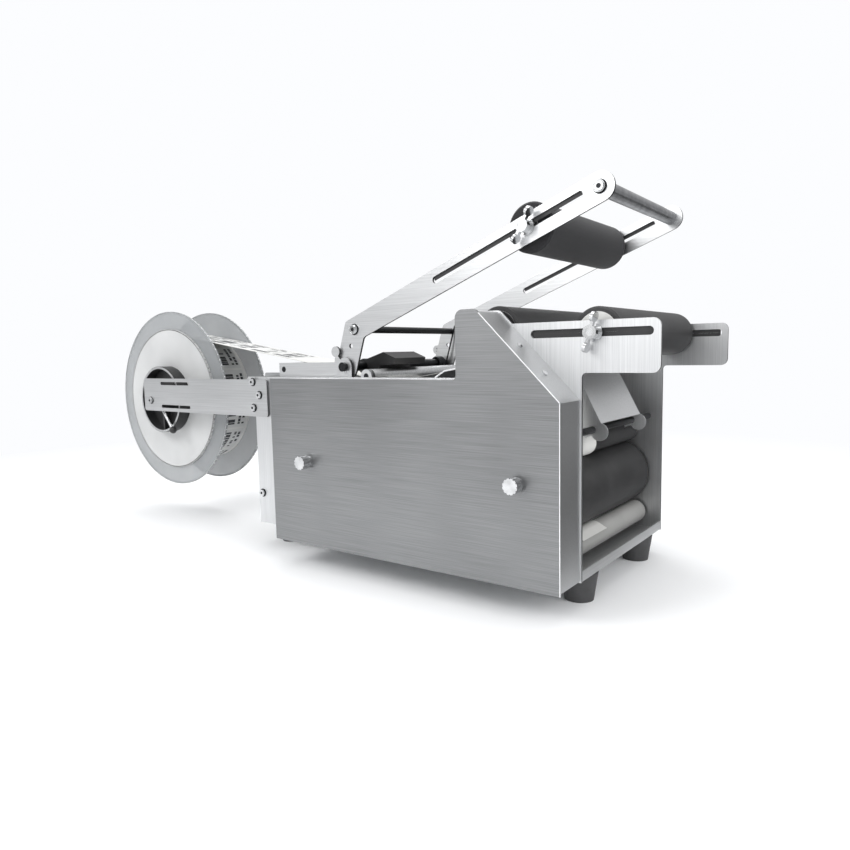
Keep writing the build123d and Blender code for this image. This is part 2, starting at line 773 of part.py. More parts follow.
# Press roller: a clamped shaft that slides in the arm slots, and the sponge sleeve that turns on it
press_shaft_y = arm_near_y + arm_t + slide_gap
press_shaft_length = arm_span - 2 * slide_gap
stud_out = arm_t + slide_gap + washer_t + wing_hub_length
press_roller_shaft = turned(press_at, [
    (press_shaft_y, roller_shaft_r, press_shaft_length),
    (press_shaft_y - stud_out, slot_stud_r, stud_out),
    (press_shaft_y + press_shaft_length, slot_stud_r, stud_out),
])
press_roller_shaft.part.label = "press_roller_shaft"
export_step(press_roller_shaft.part, "parts/press_roller_shaft.step")

press_y = arm_near_y + arm_t + (arm_span - press_length) / 2
press_roller = turned(press_at, [(press_y, press_r, press_length)], roller_shaft_r + run_gap)
with press_roller:
    chamfer(press_roller.edges().filter_by(GeomType.CIRCLE).sort_by(SortBy.RADIUS)[-2:], 2)
press_roller.part.label = "press_roller"
export_step(press_roller.part, "parts/press_roller.step")


def wing_nuts(centre, near_face, far_face, tilt):
    """A washer and a wing nut on each end of a clamped shaft, outside the two given faces."""
    with BuildPart() as nuts:
        for face_y, out in ((near_face, 1), (far_face, -1)):
            with BuildSketch(side_plane(face_y)):
                with Locations(centre):
                    Circle(washer_r)
                    Circle(slot_stud_r, mode=Mode.SUBTRACT)
            extrude(amount=out * washer_t)
            with BuildSketch(side_plane(face_y - out * washer_t)):
                with Locations(centre):
                    Circle(wing_hub_r)
                    Circle(slot_stud_r, mode=Mode.SUBTRACT)
            extrude(amount=out * wing_hub_length)
            wing_y = face_y - out * (washer_t + wing_height / 2 + wing_root_in)
            for side in (-1, 1):
                root = polar(centre, side * (wing_hub_r - wing_root_in), tilt)
                tip = polar(centre, side * wing_span / 2, tilt)
                a = math.radians(tilt)
                with BuildSketch(Plane(origin=(root[0], wing_y, root[1]),
                                       x_dir=(side * math.cos(a), 0, side * math.sin(a)),
                                       z_dir=(-math.sin(a), 0, math.cos(a)))):
                    reach = abs(wing_span / 2 - wing_hub_r + wing_root_in)
                    with Locations((reach / 2, 0)):
                        Rectangle(reach, wing_hub_length * 0.5)
                    with Locations((reach * 0.72, 0)):
                        Ellipse(reach * 0.4, wing_height / 2)
                extrude(amount=wing_t / 2, both=True)
    return nuts


press_wing_nuts = wing_nuts(press_at, arm_near_y - slide_gap, arm_far_y + arm_t + slide_gap, 60.0)
press_wing_nuts.part.label = "press_wing_nuts"
export_step(press_wing_nuts.part, "parts/press_wing_nuts.step")

# Front support roller, clamped in the slots of the front arms
front_shaft_y = near_in + slide_gap
front_shaft_length = inner_width - 2 * slide_gap
front_stud_out = plate_t + slide_gap + washer_t + wing_hub_length
front_roller_shaft = turned(front_roller_at, [
    (front_shaft_y, roller_shaft_r, front_shaft_length),
    (front_shaft_y - front_stud_out, slot_stud_r, front_stud_out),
    (front_shaft_y + front_shaft_length, slot_stud_r, front_stud_out),
])
front_roller_shaft.part.label = "front_roller_shaft"
export_step(front_roller_shaft.part, "parts/front_roller_shaft.step")

front_roller = turned(front_roller_at, [(roller_y, support_r, roller_length)], roller_shaft_r + run_gap)
with front_roller:
    chamfer(front_roller.edges().filter_by(GeomType.CIRCLE).sort_by(SortBy.RADIUS)[-2:], 2)
front_roller.part.label = "front_roller"
export_step(front_roller.part, "parts/front_roller.step")

front_wing_nuts = wing_nuts(front_roller_at, near_out - slide_gap, far_out + slide_gap, 75.0)
front_wing_nuts.part.label = "front_wing_nuts"
export_step(front_wing_nuts.part, "parts/front_wing_nuts.step")

# Driven rear roller and traction roller: a rubber sleeve on a steel core whose journals run in
# flanged bushes, and whose near end carries a pulley in the drive housing
journal_near = cover_y + cover_t + 4
journal_far = far_out


def driven_core(centre, sleeve_r):
    """The steel core and journals of a driven roller."""
    return turned(centre, [
        (roller_y, sleeve_r - sleeve_t, roller_length),
        (journal_near, journal_r, journal_far - journal_near),
    ])


rear_roller_core = driven_core(rear_roller_at, support_r)
rear_roller_core.part.label = "rear_roller_core"
export_step(rear_roller_core.part, "parts/rear_roller_core.step")

rear_roller = turned(rear_roller_at, [(roller_y, support_r, roller_length)], support_r - sleeve_t)
rear_roller.part.label = "rear_roller"
export_step(rear_roller.part, "parts/rear_roller.step")

traction_core = driven_core(traction_at, traction_r)
traction_core.part.label = "traction_core"
export_step(traction_core.part, "parts/traction_core.step")

traction_roller = turned(traction_at, [(roller_y, traction_r, roller_length)], traction_r - sleeve_t)
traction_roller.part.label = "traction_roller"
export_step(traction_roller.part, "parts/traction_roller.step")

with BuildPart() as drive_bushes:
    for centre in (rear_roller_at, traction_at):
        for near_face, flange_at in ((near_out, near_in), (far_in, far_in - bush_flange_t)):
            with BuildSketch(side_plane(near_face)):
                with Locations(centre):
                    Circle(bush_r)
                    Circle(journal_r + run_gap, mode=Mode.SUBTRACT)
            extrude(amount=-plate_t)
            with BuildSketch(side_plane(flange_at)):
                with Locations(centre):
                    Circle(bush_flange_r)
                    Circle(journal_r + run_gap, mode=Mode.SUBTRACT)
            extrude(amount=-bush_flange_t)
drive_bushes.part.label = "drive_bushes"
export_step(drive_bushes.part, "parts/drive_bushes.step")


def pulley_steps(middle_y, radius):
    """A flat belt pulley with a flange on each side, centred on middle_y."""
    half = belt_width / 2 + 1
    return [
        (middle_y - half, radius, 2 * half),
        (middle_y - half - pulley_flange, radius + belt_t, pulley_flange),
        (middle_y + half, radius + belt_t, pulley_flange),
    ]


belt_a_y = cover_y + belt_plane_a
belt_b_y = cover_y + belt_plane_b
rear_roller_pulley = turned(rear_roller_at, pulley_steps(belt_b_y, roller_pulley_r), journal_r)
rear_roller_pulley.part.label = "rear_roller_pulley"
export_step(rear_roller_pulley.part, "parts/rear_roller_pulley.step")

traction_pulley = turned(
    traction_at,
    pulley_steps(belt_a_y, traction_big_r) + pulley_steps(belt_b_y, traction_small_r)
    + [(belt_b_y, traction_small_r - 6, belt_a_y - belt_b_y)],
    journal_r)
traction_pulley.part.label = "traction_pulley"
export_step(traction_pulley.part, "parts/traction_pulley.step")

motor_pulley = turned(motor_at, pulley_steps(belt_a_y, motor_pulley_r) + [
    (belt_a_y, journal_r, near_in + gearbox_length / 2 - belt_a_y)])
motor_pulley.part.label = "motor_pulley"
export_step(motor_pulley.part, "parts/motor_pulley.step")

# Flat belts: motor to traction roller, and traction roller to rear roller
with BuildPart() as drive_belts:
    for y, first, first_r, second, second_r in (
            (belt_a_y, motor_at, motor_pulley_r, traction_at, traction_big_r),
            (belt_b_y, traction_at, traction_small_r, rear_roller_at, roller_pulley_r)):
        for grow, how in ((belt_gap + belt_t, Mode.ADD), (belt_gap, Mode.SUBTRACT)):
            with BuildSketch(side_plane(y - belt_width / 2)):
                with Locations(first):
                    Circle(first_r + grow)
                with Locations(second):
                    Circle(second_r + grow)
                make_hull()
            extrude(amount=-belt_width, mode=how)
drive_belts.part.label = "drive_belts"
export_step(drive_belts.part, "parts/drive_belts.step")

# Gear motor on the inside of the near plate
with BuildPart() as gear_motor:
    with BuildSketch(side_plane(near_in)):
        with Locations(motor_at):
            RectangleRounded(gearbox_size, gearbox_size, 6)
            Circle(journal_r + run_gap, mode=Mode.SUBTRACT)
    extrude(amount=-gearbox_length)
    with BuildSketch(side_plane(near_in + gearbox_length)):
        with Locations(motor_at):
            Circle(motor_r)
    extrude(amount=-motor_length)
    chamfer(gear_motor.edges().filter_by(GeomType.CIRCLE).sort_by(Axis.Y)[-1], 3)
gear_motor.part.label = "gear_motor"
export_step(gear_motor.part, "parts/gear_motor.step")

# Fixed cross shafts of the idle rollers, and the rollers that turn on them
with BuildPart() as cross_shafts:
    for centre in cross_axes:
        with BuildSketch(side_plane(near_out)):
            with Locations(centre):
                Circle(cross_shaft_r)
        extrude(amount=-(far_out - near_out))
    with BuildSketch(side_plane(near_in)):
        with Locations(front_guide_at):
            Circle(cross_shaft_r)
    extrude(amount=-inner_width)
    with BuildSketch(side_plane(near_bracket_y)):
        with Locations(rear_guide_at):
            Circle(cross_shaft_r)
    extrude(amount=-(far_bracket_y + bracket_t - near_bracket_y))
cross_shafts.part.label = "cross_shafts"
export_step(cross_shafts.part, "parts/cross_shafts.step")

idle_bore = cross_shaft_r + run_gap
pinch_roller = turned(pinch_at, [(roller_y, pinch_r, roller_length)], idle_bore)
pinch_roller.part.label = "pinch_roller"
export_step(pinch_roller.part, "parts/pinch_roller.step")

idler_roller = turned(idler_at, [(roller_y, idler_r, roller_length)], idle_bore)
idler_roller.part.label = "idler_roller"
export_step(idler_roller.part, "parts/idler_roller.step")

guide_y = near_bracket_y + bracket_t + slide_gap
guide_length = far_bracket_y - near_bracket_y - bracket_t - 2 * slide_gap
rear_guide_roller = turned(rear_guide_at, [(guide_y, guide_r, guide_length)], idle_bore)
rear_guide_roller.part.label = "rear_guide_roller"
export_step(rear_guide_roller.part, "parts/rear_guide_roller.step")

front_guide_roller = turned(front_guide_at, [(guide_y, guide_r, guide_length)], idle_bore)
front_guide_roller.part.label = "front_guide_roller"
export_step(front_guide_roller.part, "parts/front_guide_roller.step")

# Peel plate: a thin sloping plate between the frame plates, ending in the edge that peels labels
with BuildPart() as peel_plate:
    with BuildSketch(side_plane(near_in)):
        Polygon(at(peel_tail_back, peel_tail_z), at(peel_edge_back, peel_edge_z),
                at(peel_edge_back + 1, peel_edge_z + peel_t / 2),
                at(peel_tail_back, peel_tail_z + peel_t), at(peel_tail_back + 14, peel_tail_z - 6),
                at(peel_tail_back + 14, peel_tail_z - 8), align=None)
    extrude(amount=-inner_width)
peel_plate.part.label = "peel_plate"
export_step(peel_plate.part, "parts/peel_plate.step")


def touch(point, centre, radius, side):
    """The angle at which a line from a point touches a circle, on one side of it."""
    dx = point[0] - centre[0]
    dz = point[1] - centre[1]
    return math.degrees(math.atan2(dz, dx) + side * math.acos(radius / math.hypot(dx, dz)))


def arc_mid(centre, radius, first, last):
    """The three points of an arc round a centre, from the first to the last angle."""
    return [polar(centre, radius, a) for a in (first, (first + last) / 2, last)]


# Backing paper with its labels: off the roll, over the rear guide, through the deck, under the
# front guide, up the peel plate, round its edge, down through the nip, behind the traction roller
# and out over the idler roller
roll_line_r = roll_r + web_lift
reel_span = math.hypot(rear_guide_at[0] - reel_at[0], rear_guide_at[1] - reel_at[1])
reel_rise = math.degrees(math.atan2(rear_guide_at[1] - reel_at[1], rear_guide_at[0] - reel_at[0]))
off_roll = 90 + reel_rise - math.degrees(math.asin((roll_line_r - guide_line_r) / reel_span))
peel_tilt = math.degrees(math.atan2(peel_edge_z - peel_tail_z, peel_tail_back - peel_edge_back))
over_peel = peel_t + web_lift
tail_on = polar(at(peel_tail_back, peel_tail_z), over_peel, peel_tilt + 90)
edge_on = polar(at(peel_edge_back, peel_edge_z), over_peel, peel_tilt + 90)
round_edge = polar(at(peel_edge_back, peel_edge_z), web_lift, peel_tilt - 20)
off_guide = touch(tail_on, front_guide_at, guide_line_r, -1)
pinch_line_r = pinch_r + nip_gap / 2
on_pinch = touch(round_edge, pinch_at, pinch_line_r, -1)
nip_angle = math.degrees(math.atan2(traction_at[1] - pinch_at[1], traction_at[0] - pinch_at[0])) + 360
traction_line_r = traction_r + nip_gap / 2
idler_angle = math.degrees(math.atan2(idler_at[1] - traction_at[1], idler_at[0] - traction_at[0])) + 360
idler_line_r = idler_r + nip_gap / 2
off_idler = 62.0
web_end = polar(polar(idler_at, idler_line_r, off_idler), web_out, off_idler - 90)
web_corners = [
    polar(reel_at, roll_line_r, off_roll), polar(rear_guide_at, guide_line_r, off_roll),
    dive_from, dive_to,
    polar(front_guide_at, guide_line_r, off_guide), tail_on,
    tail_on, edge_on,
    edge_on, round_edge,
    round_edge, polar(pinch_at, pinch_line_r, on_pinch),
    polar(idler_at, idler_line_r, off_idler), web_end,
]
web_bends = [
    (rear_guide_at, guide_line_r, off_roll, dive),
    (front_guide_at, guide_line_r, dive + 180, off_guide + 360),
    (pinch_at, pinch_line_r, on_pinch, nip_angle - 360),
    (traction_at, traction_line_r, nip_angle - 180, idler_angle),
    (idler_at, idler_line_r, idler_angle - 180, off_idler),
]
with BuildPart() as liner_web:
    with BuildSketch(side_plane(web_y)):
        for first, last in zip(web_corners[::2], web_corners[1::2]):
            heading = math.degrees(math.atan2(last[1] - first[1], last[0] - first[0]))
            tail = polar(first, -web_t / 2, heading)
            nose = polar(last, web_t / 2, heading)
            Polygon(polar(tail, web_t / 2, heading + 90), polar(nose, web_t / 2, heading + 90),
                    polar(nose, -web_t / 2, heading + 90), polar(tail, -web_t / 2, heading + 90),
                    align=None)
        for centre, radius, first, last in web_bends:
            with BuildLine():
                inner = ThreePointArc(*arc_mid(centre, radius - web_t / 2, first, last))
                outer = ThreePointArc(*arc_mid(centre, radius + web_t / 2, first, last))
                Line(inner @ 0, outer @ 0)
                Line(inner @ 1, outer @ 1)
            make_face()
    extrude(amount=-web_width)
liner_web.part.label = "liner_web"
export_step(liner_web.part, "parts/liner_web.step")

# Web brake: a black shoe hung on the pivot shaft, whose tongue presses on the paper
brake_reach = 54.0
brake_rise = 18.0
brake_front = 8.0
brake_front_drop = 4.0
brake_belly = 20.0
brake_belly_drop = 15.6
brake_knee = 26.0
brake_knee_drop = 14.0
brake_heel = 28.0
brake_heel_rise = 1.0
brake_sole_rise = 2.0
brake_tip_rise = 10.0
brake_back_rise = 9.0
brake_eye_t = 4.0
with BuildPart() as web_brake:
    with BuildSketch(side_plane(web_y)):
        Polygon(at(pivot_back + brake_front, pivot_z - brake_front_drop),
                at(pivot_back - brake_belly, pivot_z - brake_belly_drop),
                at(pivot_back - brake_knee, pivot_z - brake_knee_drop),
                at(pivot_back - brake_heel, pivot_z + brake_heel_rise),
                at(pivot_back - brake_reach + brake_sole_rise, pivot_z + brake_sole_rise),
                at(pivot_back - brake_reach, pivot_z + brake_tip_rise),
                at(pivot_back - brake_reach + brake_belly, pivot_z + brake_rise),
                at(pivot_back - brake_front_drop, pivot_z + brake_back_rise), align=None)
        with Locations(pivot_at):
            Circle(pivot_shaft_r + brake_eye_t)
            Circle(pivot_shaft_r, mode=Mode.SUBTRACT)
    extrude(amount=-web_width)
web_brake.part.label = "web_brake"
export_step(web_brake.part, "parts/web_brake.step")

# Guide chute in front of the peel edge: a sloping sheet between two cheeks with rounded noses
chute_y = cover_y + chute_near
nose_at = at(chute_nose_r, chute_rod_z - 2)
chute_low = polar(nose_at, chute_nose_r, 78)
chute_top = at(peel_edge_back - chute_edge_gap, peel_edge_z - chute_drop)
chute_lean = 90 + math.degrees(math.atan2(chute_top[1] - chute_low[1], chute_top[0] - chute_low[0]))
cheek_rear = polar(chute_top, 5.0, 217)
cheek_low = at(chute_rod_back + 9, chute_rod_z - 10)
with BuildPart() as guide_chute:
    with BuildSketch(side_plane(chute_y)):
        Polygon(chute_low, chute_top, polar(chute_top, sheet_t, chute_lean),
                polar(chute_low, sheet_t, chute_lean), align=None)
    extrude(amount=-chute_width)
    for y in (chute_y, chute_y + chute_width - sheet_t):
        with BuildSketch(side_plane(y)):
            Polygon(chute_low, chute_top, cheek_rear, cheek_low, nose_at, align=None)
            with Locations(nose_at):
                Circle(chute_nose_r)
            with Locations(chute_rod_at):
                Circle(cross_shaft_r, mode=Mode.SUBTRACT)
        extrude(amount=-sheet_t)
guide_chute.part.label = "guide_chute"
export_step(guide_chute.part, "parts/guide_chute.step")

# Control box: a tray bolted to the far plate, with its panel of controls on the outer face
box_mid = at(box_front + box_length / 2, box_low + box_height / 2)
box_face = far_out + box_depth
upper_row = box_low + box_height - upper_row_drop
lower_row = box_low + lower_row_rise
dial_at = at(box_front + dial_inset, upper_row)
start_at = at(box_front + box_length - start_inset, lower_row)
stop_at_panel = at(box_front + box_length - stop_inset, lower_row)
display_at = at(box_front + box_length - display_inset, upper_row)
display_length = 90.0
display_height = 44.0
panel_margin = 16.0
dial_shaft_r = 3.0
switch_at = (far_out + box_depth / 2, base_z + box_low + switch_rise)
inlet_at = (switch_at[0], base_z + box_low + inlet_rise)
switch_width = 20.0
switch_height = 26.0
inlet_width = 27.0
inlet_height = 20.0
box_rear_x = front_x - box_front - box_length
with BuildPart() as control_box:
    with BuildSketch(side_plane(far_out)):
        with Locations(box_mid):
            RectangleRounded(box_length, box_height, 5)
    extrude(amount=-box_depth)
    with BuildSketch(side_plane(far_out)):
        with Locations(box_mid):
            RectangleRounded(box_length - 2 * box_wall, box_height - 2 * box_wall, 3)
    extrude(amount=-(box_depth - box_wall), mode=Mode.SUBTRACT)
    with BuildSketch(side_plane(box_face - box_wall)):
        with Locations(dial_at):
            Circle(dial_shaft_r + run_gap)
        with Locations(start_at, stop_at_panel):
            Circle(button_r + button_gap)
    extrude(amount=-box_wall, mode=Mode.SUBTRACT)
    with BuildSketch(Plane.YZ.offset(box_rear_x)):
        with Locations(switch_at):
            Rectangle(switch_width, switch_height)
        with Locations(inlet_at):
            Rectangle(inlet_width, inlet_height)
    extrude(amount=box_wall, mode=Mode.SUBTRACT)
control_box.part.label = "control_box"
export_step(control_box.part, "parts/control_box.step")

with BuildPart() as control_panel:
    with BuildSketch(side_plane(box_face)):
        with Locations(box_mid):
            RectangleRounded(box_length - 2 * panel_margin, box_height - 2 * panel_margin, 6)
        with Locations(dial_at):
            Circle(dial_shaft_r + run_gap, mode=Mode.SUBTRACT)
        with Locations(start_at, stop_at_panel):
            Circle(button_r + button_gap, mode=Mode.SUBTRACT)
    extrude(amount=-panel_t)
    with BuildSketch(side_plane(box_face + panel_t)):
        with Locations(display_at):
            RectangleRounded(display_length, display_height, 3)
            RectangleRounded(display_length - 8, display_height - 8, 2, mode=Mode.SUBTRACT)
    extrude(amount=-panel_t)
control_panel.part.label = "control_panel"
export_step(control_panel.part, "parts/control_panel.step")

button_depth = 6.0


def button(centre):
    """A push button: its cap stands proud of the panel and its flange waits behind the wall."""
    flange_y = box_face - box_wall - button_gap - button_depth / 2
    proud_y = box_face + panel_t + button_proud
    return turned(centre, [
        (flange_y - button_travel, button_r + 2, button_depth / 2 + button_travel),
        (flange_y, button_r, proud_y - flange_y),
    ])


start_button = button(start_at)
start_button.part.label = "start_button"
export_step(start_button.part, "parts/start_button.step")

stop_button = button(stop_at_panel)
stop_button.part.label = "stop_button"
export_step(stop_button.part, "parts/stop_button.step")

# Speed dial: a fluted knob on a spindle that turns in the panel
with BuildPart() as speed_dial:
    with BuildSketch(side_plane(box_face + panel_t + button_gap)):
        with Locations(dial_at):
            Circle(dial_r)
            with PolarLocations(dial_r, 16):
                Circle(dial_r * 0.08, mode=Mode.SUBTRACT)
    extrude(amount=-(dial_height - button_gap))
    with BuildSketch(side_plane(box_face - box_wall - 4)):
        with Locations(dial_at):
            Circle(dial_shaft_r)
    extrude(amount=-(box_wall + 4 + panel_t + button_gap))
speed_dial.part.label = "speed_dial"
export_step(speed_dial.part, "parts/speed_dial.step")

# Power switch frame with its rocker, and the inlet, on the rear wall of the box
rocker_gap = 0.4
rocker_tilt = 8.0
rocker_rise = (switch_height - 2 * box_wall) / 2 - 4 * rocker_gap
rocker_width = switch_width - 2 * box_wall - 2 * rocker_gap
rocker_pin_r = 1.5
rocker_pin_in = 1.0
rocker_at = (box_rear_x + 4.0, switch_at[1])
with BuildPart() as switch_frame:
    with BuildSketch(Plane.YZ.offset(box_rear_x - sheet_t)):
        with Locations(switch_at):
            Rectangle(switch_width + 4, switch_height + 4)
            Rectangle(switch_width - 2 * box_wall, switch_height - 2 * box_wall, mode=Mode.SUBTRACT)
    extrude(amount=sheet_t)
    with BuildSketch(Plane.YZ.offset(box_rear_x)):
        with Locations(switch_at):
            Rectangle(switch_width, switch_height)
            Rectangle(switch_width - 2 * box_wall, switch_height - 2 * box_wall, mode=Mode.SUBTRACT)
    extrude(amount=12)
    with BuildSketch(side_plane(switch_at[0] - switch_width / 2 + box_wall - rocker_pin_in - run_gap)):
        with Locations(rocker_at):
            Circle(rocker_pin_r + run_gap)
    extrude(amount=-(switch_width - 2 * box_wall + 2 * (rocker_pin_in + run_gap)), mode=Mode.SUBTRACT)
switch_frame.part.label = "switch_frame"
export_step(switch_frame.part, "parts/switch_frame.step")

with BuildPart() as power_rocker:
    with BuildSketch(side_plane(switch_at[0] - rocker_width / 2)):
        with Locations(Location((rocker_at[0], rocker_at[1]), rocker_tilt)):
            Polygon((-6, rocker_rise), (-4, 0), (-6, -rocker_rise), (2, -rocker_rise), (2, rocker_rise),
                    align=None)
    extrude(amount=-rocker_width)
    with BuildSketch(side_plane(switch_at[0] - rocker_width / 2 - rocker_gap - rocker_pin_in)):
        with Locations(rocker_at):
            Circle(rocker_pin_r)
    extrude(amount=-(rocker_width + 2 * (rocker_gap + rocker_pin_in)))
power_rocker.part.label = "power_rocker"
export_step(power_rocker.part, "parts/power_rocker.step")

with BuildPart() as power_inlet:
    with BuildSketch(Plane.YZ.offset(box_rear_x - sheet_t)):
        with Locations(inlet_at):
            Rectangle(inlet_width + 4, inlet_height + 4)
            Rectangle(inlet_width - 5, inlet_height - 5, mode=Mode.SUBTRACT)
    extrude(amount=sheet_t)
    with BuildSketch(Plane.YZ.offset(box_rear_x)):
        with Locations(inlet_at):
            Rectangle(inlet_width, inlet_height)
            Rectangle(inlet_width - 5, inlet_height - 5, mode=Mode.SUBTRACT)
    extrude(amount=16)
    with BuildSketch(Plane.YZ.offset(box_rear_x + 16)):
        with Locations(inlet_at):
            Rectangle(inlet_width, inlet_height)
    extrude(amount=2)
    with BuildSketch(Plane.YZ.offset(box_rear_x + 6)):
        with Locations(inlet_at):
            with Locations((-6, -1.5), (0, 1.5), (6, -1.5)):
                Rectangle(1.6, 4)
    extrude(amount=10)
power_inlet.part.label = "power_inlet"
export_step(power_inlet.part, "parts/power_inlet.step")
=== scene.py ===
# %% [markdown]
# A table-top bottle labelling machine, dressed for a studio render. The rigid pieces come from the
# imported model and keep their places. This script gives them their finishes and adds small things:
# label print, disc rims, roller ends, slot lips, washers and bolt sockets, the cover's dressed edge,
# and the scale and signs of the control panel. We load the frame first, because every new piece is
# placed from it.

import math
import random

import bmesh
import bpy
from mathutils import Matrix, Vector


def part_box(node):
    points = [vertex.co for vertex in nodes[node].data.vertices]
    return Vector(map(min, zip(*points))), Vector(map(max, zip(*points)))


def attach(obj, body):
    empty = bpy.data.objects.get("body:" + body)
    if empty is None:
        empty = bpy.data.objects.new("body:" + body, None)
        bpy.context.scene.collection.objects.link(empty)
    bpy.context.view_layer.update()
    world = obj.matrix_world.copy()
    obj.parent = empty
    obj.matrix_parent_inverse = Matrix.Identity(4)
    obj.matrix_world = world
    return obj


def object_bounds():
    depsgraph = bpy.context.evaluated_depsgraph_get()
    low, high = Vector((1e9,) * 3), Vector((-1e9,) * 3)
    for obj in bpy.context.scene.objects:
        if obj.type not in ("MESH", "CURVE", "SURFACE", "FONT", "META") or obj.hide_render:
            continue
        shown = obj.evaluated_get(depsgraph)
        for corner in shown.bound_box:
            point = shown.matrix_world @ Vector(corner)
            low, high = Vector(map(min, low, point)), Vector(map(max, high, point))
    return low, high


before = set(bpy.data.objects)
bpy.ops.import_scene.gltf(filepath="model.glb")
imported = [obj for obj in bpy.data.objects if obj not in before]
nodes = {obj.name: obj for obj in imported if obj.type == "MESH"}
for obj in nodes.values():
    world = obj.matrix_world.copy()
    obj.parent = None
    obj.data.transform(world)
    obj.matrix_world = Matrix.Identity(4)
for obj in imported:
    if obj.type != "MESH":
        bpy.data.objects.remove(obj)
cad_box = [list(corner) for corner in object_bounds()]
print("frame box in metres:", cad_box)

# %% [markdown]
# Three planes are enough to place the camera: the front end of the drive cover, its near face and
# its lower edge. The camera's distances from them are real lengths. Its angles and its lens were
# solved from the straight edges in the picture.

# %% Camera
MM = 0.001
cover_low, cover_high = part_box("drive_cover")
front_x = cover_high[0]
cover_y = cover_low[1]
base_z = cover_low[2]
CAMERA_AHEAD = 287.5 * MM
CAMERA_NEAR = 604.0 * MM
CAMERA_RISE = 242.9 * MM
CAMERA_TURN = math.radians(36.55)
CAMERA_DROP = math.radians(6.08)
CAMERA_ROLL = math.radians(-1.24)
SENSOR = 36.0
LENS = 29.32
NEAREST_SEEN = 20 * MM


def camera_axes(turn, drop, roll):
    """Right, up and back of a camera, from its turn about Z, its drop and its roll."""
    right = Vector((math.cos(turn), math.sin(turn), 0))
    back = Vector((math.sin(turn) * math.cos(drop), -math.cos(turn) * math.cos(drop), math.sin(drop)))
    up = back.cross(right)
    rolled_right = math.cos(roll) * right + math.sin(roll) * up
    rolled_up = math.cos(roll) * up - math.sin(roll) * right
    return rolled_right, rolled_up, back


camera_data = bpy.data.cameras.new("studio_camera")
camera_data.lens = LENS
camera_data.sensor_width = SENSOR
camera_data.clip_start = NEAREST_SEEN
camera = bpy.data.objects.new("studio_camera", camera_data)
axes = camera_axes(CAMERA_TURN, CAMERA_DROP, CAMERA_ROLL)
camera.matrix_world = Matrix((
    (axes[0].x, axes[1].x, axes[2].x, front_x + CAMERA_AHEAD),
    (axes[0].y, axes[1].y, axes[2].y, cover_y - CAMERA_NEAR),
    (axes[0].z, axes[1].z, axes[2].z, base_z + CAMERA_RISE),
    (0, 0, 0, 1)))
bpy.context.scene.collection.objects.link(camera)
bpy.context.scene.camera = camera
print("camera at", [round(v, 3) for v in camera.matrix_world.translation])

# %% [markdown]
# Colours are easiest to choose as the hex values of a paint chart, but a shader works in linear
# light. One function turns one into the other. A second adds a node with its settings and links,
# so that each material below reads as a short recipe.

# %% Colour and node helpers


def linear(hex_colour):
    """A linear RGBA colour from a hex string, by the formula of the sRGB standard."""
    channels = [int(hex_colour[i:i + 2], 16) / 255 for i in (1, 3, 5)]
    return [c / 12.92 if c <= 0.04045 else ((c + 0.055) / 1.055) ** 2.4 for c in channels] + [1.0]


def add_node(tree, kind, settings=None, values=None, links=None):
    """A node with its settings, its socket values and the outputs that feed it."""
    node = tree.nodes.new(kind)
    for key, value in (settings or {}).items():
        setattr(node, key, value)
    for key, value in (values or {}).items():
        node.inputs[key].default_value = value
    for key, source in (links or {}).items():
        tree.links.new(source, node.inputs[key])
    return node


def new_material(name, hex_colour, metallic, roughness):
    """A material with its shader and the object coordinates that its patterns read."""
    material = bpy.data.materials.new(name)
    material.use_nodes = True
    tree = material.node_tree
    shader = tree.nodes["Principled BSDF"]
    shader.inputs["Base Color"].default_value = linear(hex_colour)
    shader.inputs["Metallic"].default_value = metallic
    shader.inputs["Roughness"].default_value = roughness
    where = add_node(tree, "ShaderNodeTexCoord").outputs["Object"]
    return material, tree, shader, where


def stretched(tree, where, scale):
    """Object coordinates with a scale of their own on each axis."""
    node = add_node(tree, "ShaderNodeMapping", values={"Scale": scale}, links={"Vector": where})
    return node.outputs[0]


def ramp(tree, source, low, high, first, last):
    """Two colours blended where a value runs from low to high."""
    node = add_node(tree, "ShaderNodeValToRGB", links={"Fac": source})
    node.color_ramp.elements[0].position = low
    node.color_ramp.elements[1].position = high
    node.color_ramp.elements[0].color = linear(first)
    node.color_ramp.elements[1].color = linear(last)
    return node.outputs["Color"]


def bump(tree, shader, height, distance_mm, strength=1.0):
    """Gives a shader a bump of a real depth."""
    node = add_node(tree, "ShaderNodeBump", values={"Distance": distance_mm * MM, "Strength": strength},
                    links={"Height": height})
    tree.links.new(node.outputs["Normal"], shader.inputs["Normal"])


print("mid grey in linear light:", round(linear("#808080")[0], 3))

# %% [markdown]
# Brushed stainless steel is drawn over an abrasive belt, which leaves fine scratches that all run
# one way. The eye reads them as streaks in the gloss, so one stretched noise drives roughness,
# colour and a shallow bump. Real scratches are about 0.1 mm apart: they are drawn about 0.6 mm
# apart here, so that they show. A second, broad noise stands for handling and uneven belt pressure.

# %% Brushed steel
SCRATCH = 0.6 * MM
SCRATCH_RUN = 90 * MM
SCRATCH_DEPTH_MM = 0.02
CLOUD_SHARE = 0.3


